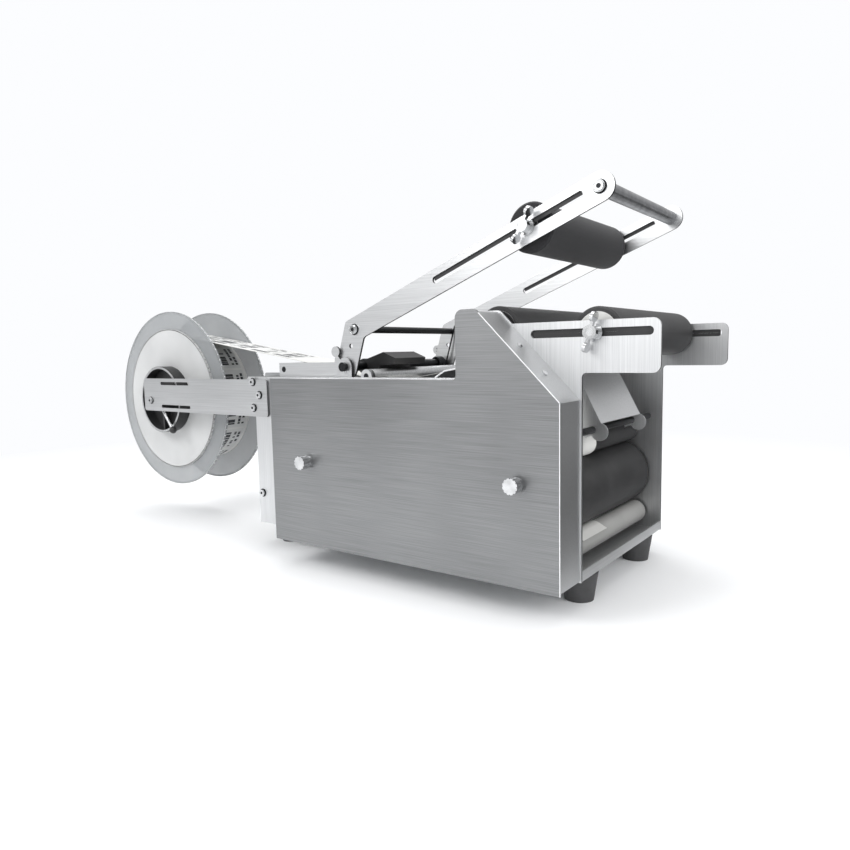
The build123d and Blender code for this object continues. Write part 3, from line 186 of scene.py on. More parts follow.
def brushed_steel(name, dark, light, along, rough=(0.3, 0.46), edge_shade=None):
    """Belt-brushed stainless with its grain along one axis: 0 is X, 1 is Y, 2 is Z.

    The faces of a plate cut from such sheet look across the machine. The faces between them, its
    edges and the walls of its slots, may take a darker tone of their own, a painted shade.
    """
    material, tree, shader, where = new_material(name, light, 1.0, rough[0])
    scale = [1 / SCRATCH] * 3
    scale[along] = 1 / SCRATCH_RUN
    grain = add_node(tree, "ShaderNodeTexNoise", values={"Scale": 1.0, "Detail": 3.0, "Roughness": 0.6},
                     links={"Vector": stretched(tree, where, scale)}).outputs["Fac"]
    cloud = add_node(tree, "ShaderNodeTexNoise", values={"Scale": 6.0, "Detail": 2.0},
                     links={"Vector": where}).outputs["Fac"]
    both = add_node(tree, "ShaderNodeMix", values={0: CLOUD_SHARE}, links={2: grain, 3: cloud}).outputs[0]
    tone = ramp(tree, both, 0.38, 0.62, dark, light)
    # Faces that look along the plate, its edges and slot walls, take the darker tone: painted shade.
    if edge_shade:
        facing = add_node(tree, "ShaderNodeTexCoord").outputs["Normal"]
        across = add_node(tree, "ShaderNodeSeparateXYZ", links={0: facing}).outputs["Y"]
        size = add_node(tree, "ShaderNodeMath", {"operation": "ABSOLUTE"}, links={0: across}).outputs[0]
        flat = add_node(tree, "ShaderNodeMapRange", values={1: 0.4, 2: 0.6}, links={0: size}).outputs[0]
        tone = add_node(tree, "ShaderNodeMix", {"data_type": "RGBA"}, {6: linear(edge_shade)},
                        {0: flat, 7: tone}).outputs[2]
    tree.links.new(tone, shader.inputs["Base Color"])
    gloss = add_node(tree, "ShaderNodeMapRange", values={3: rough[0], 4: rough[1]},
                     links={0: both}).outputs[0]
    tree.links.new(gloss, shader.inputs["Roughness"])
    bump(tree, shader, grain, SCRATCH_DEPTH_MM)
    return material


# These are copies of one brushed stainless, each toned by how light falls on its part. The cover and deck
# copies are darker, a painted shade; the chute, arm and frame copies are lighter, a painted light. The
# floor plate in the bay has a shaded copy of its own.
shaded_cover_steel = brushed_steel("shaded_stainless_cover", "#7E7F80", "#949596", 0, (0.34, 0.5))
shaded_deck_steel = brushed_steel("shaded_stainless_deck", "#68696A", "#7C7D7E", 0, (0.34, 0.5))
housing_steel = brushed_steel("brushed_stainless_housing", "#C2C3C4", "#D4D5D6", 0, (0.34, 0.5))
bracket_steel = brushed_steel("brushed_stainless_bracket", "#BBBCBD", "#CDCECF", 0, (0.3, 0.44),
                              "#6A6B6C")
lit_chute_steel = brushed_steel("lit_stainless_chute", "#DCDDDE", "#EDEEEF", 2, (0.3, 0.5))
lit_sheet_steel = brushed_steel("lit_stainless_sheet", "#CACBCC", "#DCDDDE", 0, (0.28, 0.42), "#4A4B4C")
lit_frame_steel = brushed_steel("lit_frame_stainless_sheet", "#C8C9CA", "#DADBDC", 2, (0.3, 0.46), "#8A8B8C")
bay_steel = brushed_steel("shaded_stainless_sheet", "#C4C5C6", "#D4D5D6", 1, (0.36, 0.5))
print("steels:", [material.name for material in bpy.data.materials if "stainless" in material.name])

# %% [markdown]
# The wing nuts and thumb knobs are chrome plated, so they are smooth and very bright, with only
# faint finger marks. Shafts are ground bar: bright, with rings round them too fine to see, so faint
# marks in the gloss are enough. The spring and the elbow tube are blackened steel, which keeps a dull
# sheen. A bush is bronze, warmer and softer than the steel beside it.

# %% Plated, ground and blackened metal
MARK_ROUGHNESS = 0.16


def smudged_metal(name, light, dark, rough, mark_mm, depth_mm=0.01):
    """A metal whose gloss changes with marks of a real size."""
    material, tree, shader, where = new_material(name, light, 1.0, rough)
    marks = add_node(tree, "ShaderNodeTexNoise", values={"Scale": 1 / (mark_mm * MM), "Detail": 4.0},
                     links={"Vector": where}).outputs["Fac"]
    tree.links.new(ramp(tree, marks, 0.35, 0.65, light, dark), shader.inputs["Base Color"])
    gloss = add_node(tree, "ShaderNodeMapRange", values={3: rough, 4: rough + MARK_ROUGHNESS},
                     links={0: marks}).outputs[0]
    tree.links.new(gloss, shader.inputs["Roughness"])
    bump(tree, shader, marks, depth_mm)
    return material


chrome_plate = smudged_metal("chrome_plate", "#D9DADB", "#C4C5C6", 0.08, 9.0)
ground_bar = smudged_metal("ground_steel_bar", "#CFD0D1", "#B8B9BA", 0.2, 6.0, 0.002)
oiled_bar = smudged_metal("oiled_steel_bar", "#949597", "#7E7F82", 0.26, 8.0, 0.002)
# A strip of this near-white metal on the cover's edge is a painted highlight.
edge_highlight_metal = smudged_metal("painted_edge_highlight", "#FBFBFC", "#F0F1F2", 0.3, 5.0, 0.001)
black_steel = smudged_metal("blackened_steel", "#3A3B3D", "#2A2B2C", 0.34, 2.0, 0.02)
turned_aluminium = smudged_metal("turned_aluminium", "#C9CACB", "#B6B7B8", 0.28, 2.5, 0.02)
bronze = smudged_metal("sintered_bronze", "#A98A55", "#8C6F40", 0.38, 1.2, 0.03)
print("materials so far:", len(bpy.data.materials))

# %% [markdown]
# Rubber and foam scatter light instead of mirroring it. Vulcanised rubber has a fine tooth left by
# grinding, and the press roller is closed-cell sponge whose cut cells show as tiny pits 1.3 mm
# across. Both are nearly black with a broad, weak highlight. Dust makes the rubber paler in places.

# %% Rubber and sponge
CELL = 1.3 * MM
CELL_DEPTH_MM = 0.25


def rubber(name, dark, light, tooth_mm, depth_mm, rough):
    """A matt rubber with a surface tooth of a real size and some dust."""
    material, tree, shader, where = new_material(name, dark, 0.0, rough)
    tooth = add_node(tree, "ShaderNodeTexNoise", values={"Scale": 1 / (tooth_mm * MM), "Detail": 3.0},
                     links={"Vector": where}).outputs["Fac"]
    dust = add_node(tree, "ShaderNodeTexNoise", values={"Scale": 18.0, "Detail": 6.0, "Roughness": 0.65},
                    links={"Vector": where}).outputs["Fac"]
    tree.links.new(ramp(tree, dust, 0.42, 0.75, dark, light), shader.inputs["Base Color"])
    gloss = add_node(tree, "ShaderNodeMapRange", values={3: rough - 0.08, 4: rough + 0.12},
                     links={0: dust}).outputs[0]
    tree.links.new(gloss, shader.inputs["Roughness"])
    bump(tree, shader, tooth, depth_mm)
    return material


black_rubber = rubber("ground_black_rubber", "#262627", "#3B3B3C", 0.8, 0.05, 0.55)
foot_rubber = rubber("moulded_foot_rubber", "#414142", "#565657", 1.5, 0.04, 0.6)


def cell_sponge():
    """Closed-cell sponge: rounded cells cut open by the grinder."""
    material, tree, shader, where = new_material("closed_cell_sponge", "#1E1E20", 0.0, 0.85)
    cells = add_node(tree, "ShaderNodeTexVoronoi", values={"Scale": 1 / CELL},
                     links={"Vector": where}).outputs["Distance"]
    tree.links.new(ramp(tree, cells, 0.1, 0.7, "#151517", "#2C2C2F"), shader.inputs["Base Color"])
    bump(tree, shader, cells, CELL_DEPTH_MM)
    shader.inputs["Sheen Weight"].default_value = 0.1
    return material


sponge = cell_sponge()
print("rubbers:", black_rubber.name, foot_rubber.name, sponge.name)

# %% [markdown]
# The moulded plastics have a light spark-eroded texture from the tool. The reel discs are frosted
# acrylic: some light passes through them, so the roll between them shows as a soft grey shape. The
# box is steel sheet with powder coat, whose orange-peel surface has lumps about 1.5 mm across. Paper
# is a matt, slightly fibrous white.

# %% Plastics, paint and paper


def textured(name, low, high, grain_mm, depth_mm, rough, coat=0.0):
    """A non-metal with a fine texture of a real size and a slight change of tone."""
    material, tree, shader, where = new_material(name, high, 0.0, rough)
    grain = add_node(tree, "ShaderNodeTexNoise", values={"Scale": 1 / (grain_mm * MM), "Detail": 2.0},
                     links={"Vector": where}).outputs["Fac"]
    tone = add_node(tree, "ShaderNodeTexNoise", values={"Scale": 9.0, "Detail": 3.0},
                    links={"Vector": where}).outputs["Fac"]
    tree.links.new(ramp(tree, tone, 0.35, 0.65, low, high), shader.inputs["Base Color"])
    gloss = add_node(tree, "ShaderNodeMapRange", values={3: rough - 0.05, 4: rough + 0.08},
                     links={0: tone}).outputs[0]
    tree.links.new(gloss, shader.inputs["Roughness"])
    bump(tree, shader, grain, depth_mm)
    shader.inputs["Coat Weight"].default_value = coat
    return material


black_abs = textured("moulded_black_abs", "#1F1F20", "#2C2C2D", 0.7, 0.03, 0.42)
white_acetal = textured("white_acetal_sheet", "#BFC0C0", "#CDCECE", 0.9, 0.02, 0.38)
grey_powder = textured("grey_powder_coat", "#BDBFC1", "#C8CACC", 1.5, 0.06, 0.4, 0.2)
dark_enamel = textured("dark_motor_enamel", "#2C2E30", "#3A3C3E", 1.5, 0.05, 0.38, 0.3)
panel_film = textured("black_panel_film", "#1B1C1E", "#232427", 0.5, 0.02, 0.35)
red_cap = textured("red_polycarbonate", "#A51B12", "#B82419", 0.6, 0.01, 0.25, 0.4)
green_cap = textured("green_polycarbonate", "#1F7A36", "#2A8C42", 0.6, 0.01, 0.25, 0.4)
roll_paper = textured("wound_label_paper", "#C4C4C2", "#E2E2E0", 0.4, 0.04, 0.7)
web_paper = textured("glassine_backing_paper", "#CDCDCA", "#DCDCD9", 0.6, 0.02, 0.5)
label_ink = textured("black_label_ink", "#26272A", "#34353A", 0.4, 0.01, 0.5)
label_face = textured("printed_label_paper", "#C2C3C2", "#D4D5D4", 0.5, 0.02, 0.45)
# The disc rims are near white, a painted highlight, and the flange's rim dark grey, a painted shade.
rim_highlight = textured("painted_disc_rim_highlight", "#D8DADB", "#ECEEEF", 4.0, 0.0, 0.12, 0.5)
flange_rim_shade = textured("painted_flange_rim_shade", "#5C5D5E", "#6E6F70", 0.6, 0.03, 0.55)
grey_nylon = textured("grey_nylon_roller", "#8E8E8C", "#A0A09E", 0.8, 0.03, 0.5)
pale_plug = textured("pale_nylon_plug", "#D5D5D2", "#E3E3E0", 0.8, 0.02, 0.4)
display_glass = textured("display_window", "#20302A", "#26382F", 2.0, 0.0, 0.08, 0.6)
lit_digits = textured("counter_digits", "#8FD46A", "#A5E07E", 1.0, 0.0, 0.4)
white_print = textured("white_panel_print", "#D4D6D8", "#E2E4E6", 0.5, 0.01, 0.5)


def frosted_acrylic():
    """Frosted acrylic sheet: a third of the light passes, and the rest meets a pale haze."""
    material, tree, shader, where = new_material("frosted_acrylic_disc", "#A2A5A7", 0.0, 0.35)
    haze = add_node(tree, "ShaderNodeTexNoise", values={"Scale": 25.0, "Detail": 4.0},
                    links={"Vector": where}).outputs["Fac"]
    tree.links.new(ramp(tree, haze, 0.3, 0.7, "#9B9EA0", "#A4A7A9"), shader.inputs["Base Color"])
    bump(tree, shader, haze, 0.03)
    shader.inputs["Alpha"].default_value = 0.66
    shader.inputs["IOR"].default_value = 1.49
    return material


acrylic = frosted_acrylic()
print("all materials:", len(bpy.data.materials))

# %% [markdown]
# Every node of the frame takes one finish, by what the real piece is made of. The last line prints
# any node that was forgotten.

# %% Give each node of the frame its finish
finishes = {
    shaded_cover_steel: ["drive_cover"],
    shaded_deck_steel: ["deck_plate"],
    housing_steel: ["drive_housing"],
    bracket_steel: ["near_reel_bracket", "far_reel_bracket"],
    lit_sheet_steel: ["near_press_arm", "far_press_arm", "pivot_brackets"],
    lit_frame_steel: ["near_frame_plate", "far_frame_plate", "rear_panel"],
    bay_steel: ["floor_plate"],
    lit_chute_steel: ["peel_plate", "guide_chute"],
    chrome_plate: ["cover_knobs", "front_wing_nuts", "press_wing_nuts", "frame_screws", "arm_bolts"],
    ground_bar: ["reel_shaft", "front_roller_shaft", "press_roller_shaft", "rear_roller_core",
                 "traction_core", "clamp_lever"],
    oiled_bar: ["handle_rod"],
    # The cross shafts take blackened steel, which also paints the shade they lie in under the chute.
    black_steel: ["pivot_shaft", "elbow_tube", "return_spring", "cross_shafts"],
    turned_aluminium: ["front_guide_roller", "rear_guide_roller", "rear_roller_pulley", "traction_pulley",
                       "motor_pulley"],
    grey_nylon: ["idler_roller"],
    bronze: ["drive_bushes"],
    # The pinch roller takes black rubber, which also paints the shade it lies in under the chute.
    black_rubber: ["traction_roller", "rear_roller", "front_roller", "drive_belts", "pinch_roller"],
    foot_rubber: ["feet"],
    sponge: ["press_roller"],
    acrylic: ["outer_disc", "inner_disc"],
    white_acetal: ["flange_disc"],
    black_abs: ["reel_hub", "web_brake", "switch_frame", "power_inlet", "speed_dial"],
    red_cap: ["stop_button", "power_rocker"],
    green_cap: ["start_button"],
    grey_powder: ["control_box"],
    panel_film: ["control_panel"],
    roll_paper: ["label_roll"],
    web_paper: ["liner_web"],
    dark_enamel: ["gear_motor"],
}
for material, names in finishes.items():
    for name in names:
        nodes[name].data.materials.clear()
        nodes[name].data.materials.append(material)
undressed = set(nodes) - {name for names in finishes.values() for name in names}
print("nodes without a finish:", sorted(undressed))

# %% [markdown]
# New pieces take their places from the nodes that they belong to, so we ask the frame for the axis
# and the radius of a turned node. A few spots have no node of their own, and are measured from the
# front and the foot of the drive cover.

# %% Places in the side view


def axis_of(node):
    """The centre of a turned node in the side view."""
    low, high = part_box(node)
    return ((low[0] + high[0]) / 2, (low[2] + high[2]) / 2)


def radius_of(node):
    """The radius of a turned node."""
    low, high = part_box(node)
    return (high[0] - low[0]) / 2


def side_spot(back_mm, rise_mm):
    """A place in the side view, in mm back from the cover's front and up from its foot."""
    return (front_x - back_mm * MM, base_z + rise_mm * MM)


print("label roll at", axis_of("label_roll"), "with a radius of", radius_of("label_roll"))

# %% [markdown]
# Every new piece is built as a bmesh and made into an object in the same way. Its corners are
# welded, its faces are turned outward, and it gets its material and the body that carries it.

# %% Make a piece
MERGE = 0.001 * MM


def hand_in(name, bm, material, body):
    """Turns a bmesh into a piece that rides on a body."""
    bmesh.ops.remove_doubles(bm, verts=bm.verts, dist=MERGE)
    bmesh.ops.recalc_face_normals(bm, faces=bm.faces)
    mesh = bpy.data.meshes.new(name)
    bm.to_mesh(mesh)
    bm.free()
    mesh.materials.append(material)
    piece = bpy.data.objects.new(name, mesh)
    bpy.context.scene.collection.objects.link(piece)
    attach(piece, body)
    print(name, "on", body, "with", len(mesh.polygons), "faces")


# %% [markdown]
# Many of the pieces are turned. Such a piece starts as its half section in radius and width, and is
# spun about a cross axis. A part turn gives a curved strip, such as a label on the roll.

# %% Turned shapes


def spun(bm, centre, section, first=0.0, turn=360.0, steps=48):
    """Spins a section of (radius, y) corners about the cross axis through a centre."""
    a = math.radians(first)
    corners = [bm.verts.new((centre[0] + r * math.cos(a), y, centre[1] + r * math.sin(a)))
               for r, y in section]
    face = bm.faces.new(corners)
    around = {"cent": (centre[0], 0, centre[1]), "axis": (0, -1, 0), "angle": math.radians(turn)}
    if turn >= 360.0:
        rim = list(face.edges)
        bm.faces.remove(face)
        bmesh.ops.spin(bm, geom=corners + rim, steps=steps, use_merge=True, **around)
    else:
        bmesh.ops.spin(bm, geom=[face], steps=steps, use_merge=False, **around)


def ring_section(inner, outer, low_y, high_y, edge):
    """A ring's section with its outer corners broken."""
    return [(inner, low_y), (outer - edge, low_y), (outer, low_y + edge), (outer, high_y - edge),
            (outer - edge, high_y), (inner, high_y)]


def box_section(base, thick, low_y, high_y):
    """A square-cornered section that starts at a radius."""
    return [(base, low_y), (base + thick, low_y), (base + thick, high_y), (base, high_y)]


def hexagon(bm, centre, radius, middle_y, depth):
    """A six-sided peg across the machine, which stands for the shaded recess of a key's socket."""
    peg = bmesh.ops.create_cone(bm, cap_ends=True, segments=6, radius1=radius, radius2=radius,
                                depth=depth)["verts"]
    bmesh.ops.rotate(bm, verts=peg, cent=(0, 0, 0), matrix=Matrix.Rotation(math.pi / 2, 3, "X"))
    bmesh.ops.translate(bm, verts=peg, vec=(centre[0], middle_y, centre[1]))


# %% [markdown]
# Most of the rest is cut from thin sheet. A sheet piece starts as a block squeezed to its real
# thickness along a line of the side view. Where its corners are round, its upright edges are bevelled.

# %% Sheet shapes
ALMOST_PARALLEL = 0.9


def plate(bm, start, end, low_y, high_y, lift, thick, corner=0.0):
    """A thin plate lying on a straight line of the side view, its long way along the line."""
    start = Vector((start[0], 0, start[1]))
    along = Vector((end[0], 0, end[1])) - start
    length = along.length
    along.normalize()
    out = Vector((-along.z, 0, along.x))
    middle = start + along * length / 2 + out * (lift + thick / 2) + Vector((0, (low_y + high_y) / 2, 0))
    columns = (along * length, Vector((0, 1, 0)) * (high_y - low_y), out * thick)
    place = Matrix.Translation(middle) @ Matrix(columns).transposed().to_4x4()
    block = bmesh.ops.create_cube(bm, size=1.0, matrix=place)["verts"]
    if corner:
        uprights = {e for v in block for e in v.link_edges
                    if abs((e.verts[0].co - e.verts[1].co).normalized().dot(out)) > ALMOST_PARALLEL}
        bmesh.ops.bevel(bm, geom=list(uprights), offset=corner, segments=4, profile=0.5, affect="EDGES",
                        material=-1)


# %% [markdown]
# The roll is what the machine exists for, so its labels and their print show. The print is bars and
# blocks of no language, drawn from a seed so that every run gives the same. A label is 48 mm long
# with 3 mm between labels, or a little more where they share out the way round the roll. Its print
# stays 6 mm inside its ends, as on a real one. Label and ink sink a few hundredths of a millimetre
# into what they lie on, so that no gap shows.

# %% Labels on the roll
WEB_LIFT = 0.3 * MM
WEB_THICK = 0.6 * MM
LABEL_THICK = 0.12 * MM
LABEL_SINK = 0.02 * MM
LABEL_LENGTH = 48 * MM
LABEL_GAP = 3 * MM
LABEL_CORNER = 2 * MM
LABEL_STEPS = 8
INK_THICK = 0.05 * MM
INK_SINK = 0.03 * MM
INK_STEPS = 2
PRINT_MARGIN = 6 * MM
SIDE_MARGIN = 2 * MM
PRINT_BANDS = ((0.10, 0.16), (0.34, 0.30), (0.74, 0.08), (0.87, 0.08))
MARK_SHARES = (0.08, 0.2)
MARK_CHANCE = 0.78
MARK_FILL = 0.8
random.seed(7)

roll_at = axis_of("label_roll")
roll_r = radius_of("label_roll")
web_low, web_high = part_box("liner_web")
label_low = web_low[1] + SIDE_MARGIN
label_width = web_high[1] - web_low[1] - 2 * SIDE_MARGIN


def print_marks():
    """One label's marks as (start, length, low, high) in metres along and across it."""
    room = LABEL_LENGTH - 2 * PRINT_MARGIN
    marks = []
    for low, tall in PRINT_BANDS:
        cursor = 0.0
        while cursor < room:
            step = random.uniform(*MARK_SHARES) * room
            if random.random() < MARK_CHANCE:
                length = min(step * MARK_FILL, room - cursor)
                marks.append((PRINT_MARGIN + cursor, length, label_low + low * label_width,
                              label_low + (low + tall) * label_width))
            cursor += step
    return marks


labels = bmesh.new()
ink = bmesh.new()
label_section = box_section(roll_r - LABEL_SINK, LABEL_THICK, label_low, label_low + label_width)
count = int(2 * math.pi * roll_r / (LABEL_LENGTH + LABEL_GAP))
per_metre = math.degrees(1 / roll_r)
for i in range(count):
    first = 360.0 * i / count
    spun(labels, roll_at, label_section, first, LABEL_LENGTH * per_metre, LABEL_STEPS)
    for start, length, low, high in print_marks():
        ink_section = box_section(roll_r + LABEL_THICK - INK_SINK, INK_THICK, low, high)
        spun(ink, roll_at, ink_section, first + start * per_metre, length * per_metre, INK_STEPS)
print("labels round the roll:", count)
hand_in("roll_labels", labels, label_face, "reel")
hand_in("roll_print", ink, label_ink, "reel")

# %% [markdown]
# From the roll the paper runs straight to the rear guide. That line touches both circles from above,
# so its ends follow from the two centres and radii, and the labels on it are flat plates.

# %% Labels on the straight run
FIRST_LABEL = 14 * MM
LAST_GAP = 6 * MM
LABEL_LIFT = WEB_LIFT + WEB_THICK
guide_at = Vector(axis_of("rear_guide_roller"))
guide_r = radius_of("rear_guide_roller")
span = guide_at - Vector(roll_at)
touch_angle = math.atan2(span.y, span.x) + math.acos((roll_r - guide_r) / span.length)
outward = Vector((math.cos(touch_angle), math.sin(touch_angle)))
run_start = Vector(roll_at) + outward * roll_r
run = guide_at + outward * guide_r - run_start
ahead = run.normalized()
run_labels = bmesh.new()
run_ink = bmesh.new()
place = FIRST_LABEL
while place + LABEL_LENGTH < run.length - LAST_GAP:
    start = run_start + ahead * place
    plate(run_labels, start, start + ahead * LABEL_LENGTH, label_low, label_low + label_width,
          LABEL_LIFT - LABEL_SINK, LABEL_THICK, LABEL_CORNER)
    for first, length, low, high in print_marks():
        plate(run_ink, start + ahead * first, start + ahead * (first + length), low, high,
              LABEL_LIFT + LABEL_THICK - INK_SINK, INK_THICK)
    place += LABEL_LENGTH + LABEL_GAP
hand_in("running_labels", run_labels, label_face, "frame")
hand_in("running_print", run_ink, label_ink, "frame")

# %% [markdown]
# The reel's two frosted discs are cut from sheet. Each rim is a near-white ring, a painted highlight
# and the brightest line on them. The flange on the outer one is cut from opaque sheet, and its rim is
# a dark grey ring, a painted shade. The hub is a dark moulding with a turned ring round its mouth.

# %% Reel trim
RIM = 1.6 * MM
RIM_EDGE = 0.5 * MM
HUB_WALL = 4.0 * MM
RING_IN = 0.3 * MM
RING_OUT = 0.5 * MM
RING_PROUD = 0.6 * MM
RING_SEAT = 0.2 * MM
RING_EDGE = 0.3 * MM
rim_tones = {"outer_disc": rim_highlight, "inner_disc": rim_highlight, "flange_disc": flange_rim_shade}
for disc, finish in rim_tones.items():
    low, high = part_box(disc)
    disc_r = radius_of(disc)
    rim = bmesh.new()
    spun(rim, axis_of(disc), ring_section(disc_r - RIM, disc_r, low[1], high[1], RIM_EDGE), steps=96)
    hand_in(disc + "_rim", rim, finish, "reel")

hub_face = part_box("reel_hub")[0][1]
hub_r = radius_of("reel_hub")
ring = bmesh.new()
mouth_section = ring_section(hub_r - HUB_WALL + RING_IN, hub_r - RING_OUT, hub_face - RING_PROUD,
                             hub_face + RING_SEAT, RING_EDGE)
spun(ring, roll_at, mouth_section, steps=72)
hand_in("hub_mouth_ring", ring, turned_aluminium, "reel")

# %% [markdown]
# Seen end on, a roller is a tube with a plug and a bearing in it. The plug of the front roller is
# pale and the others are dark. A plug stands 0.5 mm off the face and a bearing 0.8 mm, in the gap by
# the plates.

# %% Roller ends
BEARING_IN = 6.4 * MM
BEARING_OUT = 10.0 * MM
END_SEAT = 0.3 * MM
END_EDGE = 0.2 * MM
PLUG_PROUD = 0.5 * MM
BEARING_PROUD = 0.8 * MM


def end_ring(bm, roller, face_y, out, inner, outer, proud, steps):
    """A ring let into a roller's end, which stands a little proud of the face."""
    low, high = sorted((face_y - out * END_SEAT, face_y + out * proud))
    spun(bm, axis_of(roller), ring_section(inner, outer, low, high, END_EDGE), steps=steps)


ends = {"front_roller": (0.8, pale_plug),
        "press_roller": (0.6, black_abs),
        "rear_roller": (0.8, black_abs)}
for roller, (share_of_r, plug) in ends.items():
    low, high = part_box(roller)
    plug_r = radius_of(roller) * share_of_r
    plugs = bmesh.new()
    bearings = bmesh.new()
    for face_y, out in ((low[1], -1), (high[1], 1)):
        end_ring(plugs, roller, face_y, out, BEARING_OUT, plug_r, PLUG_PROUD, 48)
        end_ring(bearings, roller, face_y, out, BEARING_IN, BEARING_OUT, BEARING_PROUD, 36)
    hand_in(roller + "_plugs", plugs, plug, roller)
    hand_in(roller + "_bearings", bearings, ground_bar, roller)

# %% [markdown]
# The arm bolts are cap screws. The model's heads are plain rounds, so each gets a chrome collar and
# a black hexagon in its face, a painted shade for the socket that its key needs.

# %% Sockets of the arm bolts
HEAD_R = 6.0 * MM
COLLAR_SHARE = 0.92
COLLAR_HEIGHT = 0.5 * MM
SCREW_BORE = 0.46
SCREW_EDGE = 0.16
KEY_SHARE = 0.5
KEY_DEPTH = 0.55


def cap_screw(heads, sockets, centre, face_y, out, head_r, head_h):
    """A cap screw's head with a broken edge, and a black hexagon in its face, a painted shade for its
    socket.
    """
    low, high = sorted((face_y, face_y + out * head_h))
    section = ring_section(head_r * SCREW_BORE, head_r, low, high, head_r * SCREW_EDGE)
    spun(heads, centre, section, steps=24)
    low, high = sorted((face_y, face_y + out * head_h * KEY_DEPTH))
    hexagon(sockets, centre, head_r * KEY_SHARE, (low + high) / 2, high - low)


collars = bmesh.new()
socket_shade = bmesh.new()
bolts_low, bolts_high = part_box("arm_bolts")
for spot in (axis_of("handle_rod"), axis_of("elbow_tube")):
    for face_y, out in ((bolts_low[1], -1), (bolts_high[1], 1)):
        cap_screw(collars, socket_shade, spot, face_y, out, HEAD_R * COLLAR_SHARE, COLLAR_HEIGHT)
hand_in("arm_bolt_collars", collars, chrome_plate, "press_arms")
hand_in("arm_bolt_socket_shade", socket_shade, black_steel, "press_arms")

# %% [markdown]
# Every adjusting slot is dark from end to end, although light is behind it: the shade between its
# walls. A pair of thin black strips deep in each slot paints that shade, and the stud passes
# between them anywhere. The arms' slots are light below their dark line, so those have the upper
# strip alone.

# %% Painted shade in the front slots
SHADE_STRIP = 1.0 * MM
SHADE_STRIP_IN = 0.3 * MM
SHADE_STRIP_CLEARANCE = 0.05 * MM
BOTH_STRIPS = (-1, 0)
UPPER_STRIP = (0,)
SLOT_WIDTH = 8.4 * MM
SLOT_END = 2.0 * MM
PLATE = 3.0 * MM
FRONT_SLOT_RISE = 258 * MM
FRONT_SLOT_BACK = 57 * MM
FRONT_SLOT_AHEAD = 72 * MM


def shade_strips(name, first, last, back_y, body, sides):
    """Black strips along a slot's centre line, a little in from the plate's face at back_y: painted
    shade.
    """
    strip = bmesh.new()
    half = SLOT_WIDTH / 2
    for side in sides:
        plate(strip, first, last, back_y - SHADE_STRIP_IN - SHADE_STRIP, back_y - SHADE_STRIP_IN, side * half,
              half - SHADE_STRIP_CLEARANCE)
    # Black rubber here paints the shade in the slot.
    hand_in(name, strip, black_rubber, body)


slot_z = base_z + FRONT_SLOT_RISE
slot_rear = (front_x - FRONT_SLOT_BACK + SLOT_END, slot_z)
slot_front = (front_x + FRONT_SLOT_AHEAD - SLOT_END, slot_z)
near_plate_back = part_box("near_reel_bracket")[1][1] + PLATE
far_plate_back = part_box("far_reel_bracket")[0][1]
shade_strips("near_front_slot_shade", slot_rear, slot_front, near_plate_back, "frame", BOTH_STRIPS)
shade_strips("far_front_slot_shade", slot_rear, slot_front, far_plate_back, "frame", BOTH_STRIPS)

# %% [markdown]
# The arm's slot is placed from its handle rod: it runs back along the beam from just behind the rod,
# and lies a little above the line through the rod.

# %% Painted shade in the arm slots
BEAM_ANGLE = math.radians(21.16)
BEAM_SLOT_FROM_TIP = 21.5 * MM
BEAM_SLOT_OFFSET = 2.5 * MM
BEAM_SLOT_LENGTH = 200 * MM
beam_along = Vector((math.cos(BEAM_ANGLE), math.sin(BEAM_ANGLE)))
beam_up = Vector((-beam_along.y, beam_along.x))
slot_tip = (Vector(axis_of("handle_rod")) - beam_along * (BEAM_SLOT_FROM_TIP - SLOT_WIDTH / 2 + SLOT_END)
            + beam_up * BEAM_SLOT_OFFSET)
slot_root = slot_tip - beam_along * (BEAM_SLOT_LENGTH - 2 * SLOT_END)
for side in ("near", "far"):
    arm_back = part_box(side + "_press_arm")[1][1]
    shade_strips(side + "_arm_slot_shade", slot_root, slot_tip, arm_back, "press_arms", UPPER_STRIP)

# %% [markdown]
# A bolt on a bright bar reads by the dark ring round its head. Each gets a thin black ring under its
# head that shows as a crescent, a painted shade, and a black hexagon in its face, a painted shade
# for the socket of its key. The spots are in mm, back from the cover's front and up from its foot.

# %% Painted shade round and in the bracket bolts
BOLT_R = 5.0 * MM
BOLT_HEAD = 3.5 * MM
SHADE_RING = 0.5 * MM
SHADE_RING_IN = 0.94
SHADE_RING_OUT = 1.2
SHADE_RING_EDGE = 0.15 * MM
SOCKET_SHARE = 0.4
SOCKET_DEPTH = 0.4 * MM
SOCKET_PROUD = 0.05 * MM
REEL_BAR = 3.0 * MM
BAR_BOLTS = ((500, 204.5), (487, 186), (500, 167.5))
LOW_BOLT = (492, 44)


def bolt_shade_rings(name, spots, face_y, out, body):
    """A black ring under each bolt head and a black hexagon on the head's face, both painted shade."""
    bm = bmesh.new()
    for spot, head_r in spots:
        low, high = sorted((face_y, face_y + out * SHADE_RING))
        section = ring_section(head_r * SHADE_RING_IN, head_r * SHADE_RING_OUT, low, high, SHADE_RING_EDGE)
        spun(bm, spot, section, steps=36)
        hexagon(bm, spot, head_r * SOCKET_SHARE, face_y + out * (BOLT_HEAD + SOCKET_PROUD), SOCKET_DEPTH)
    hand_in(name, bm, black_steel, body)


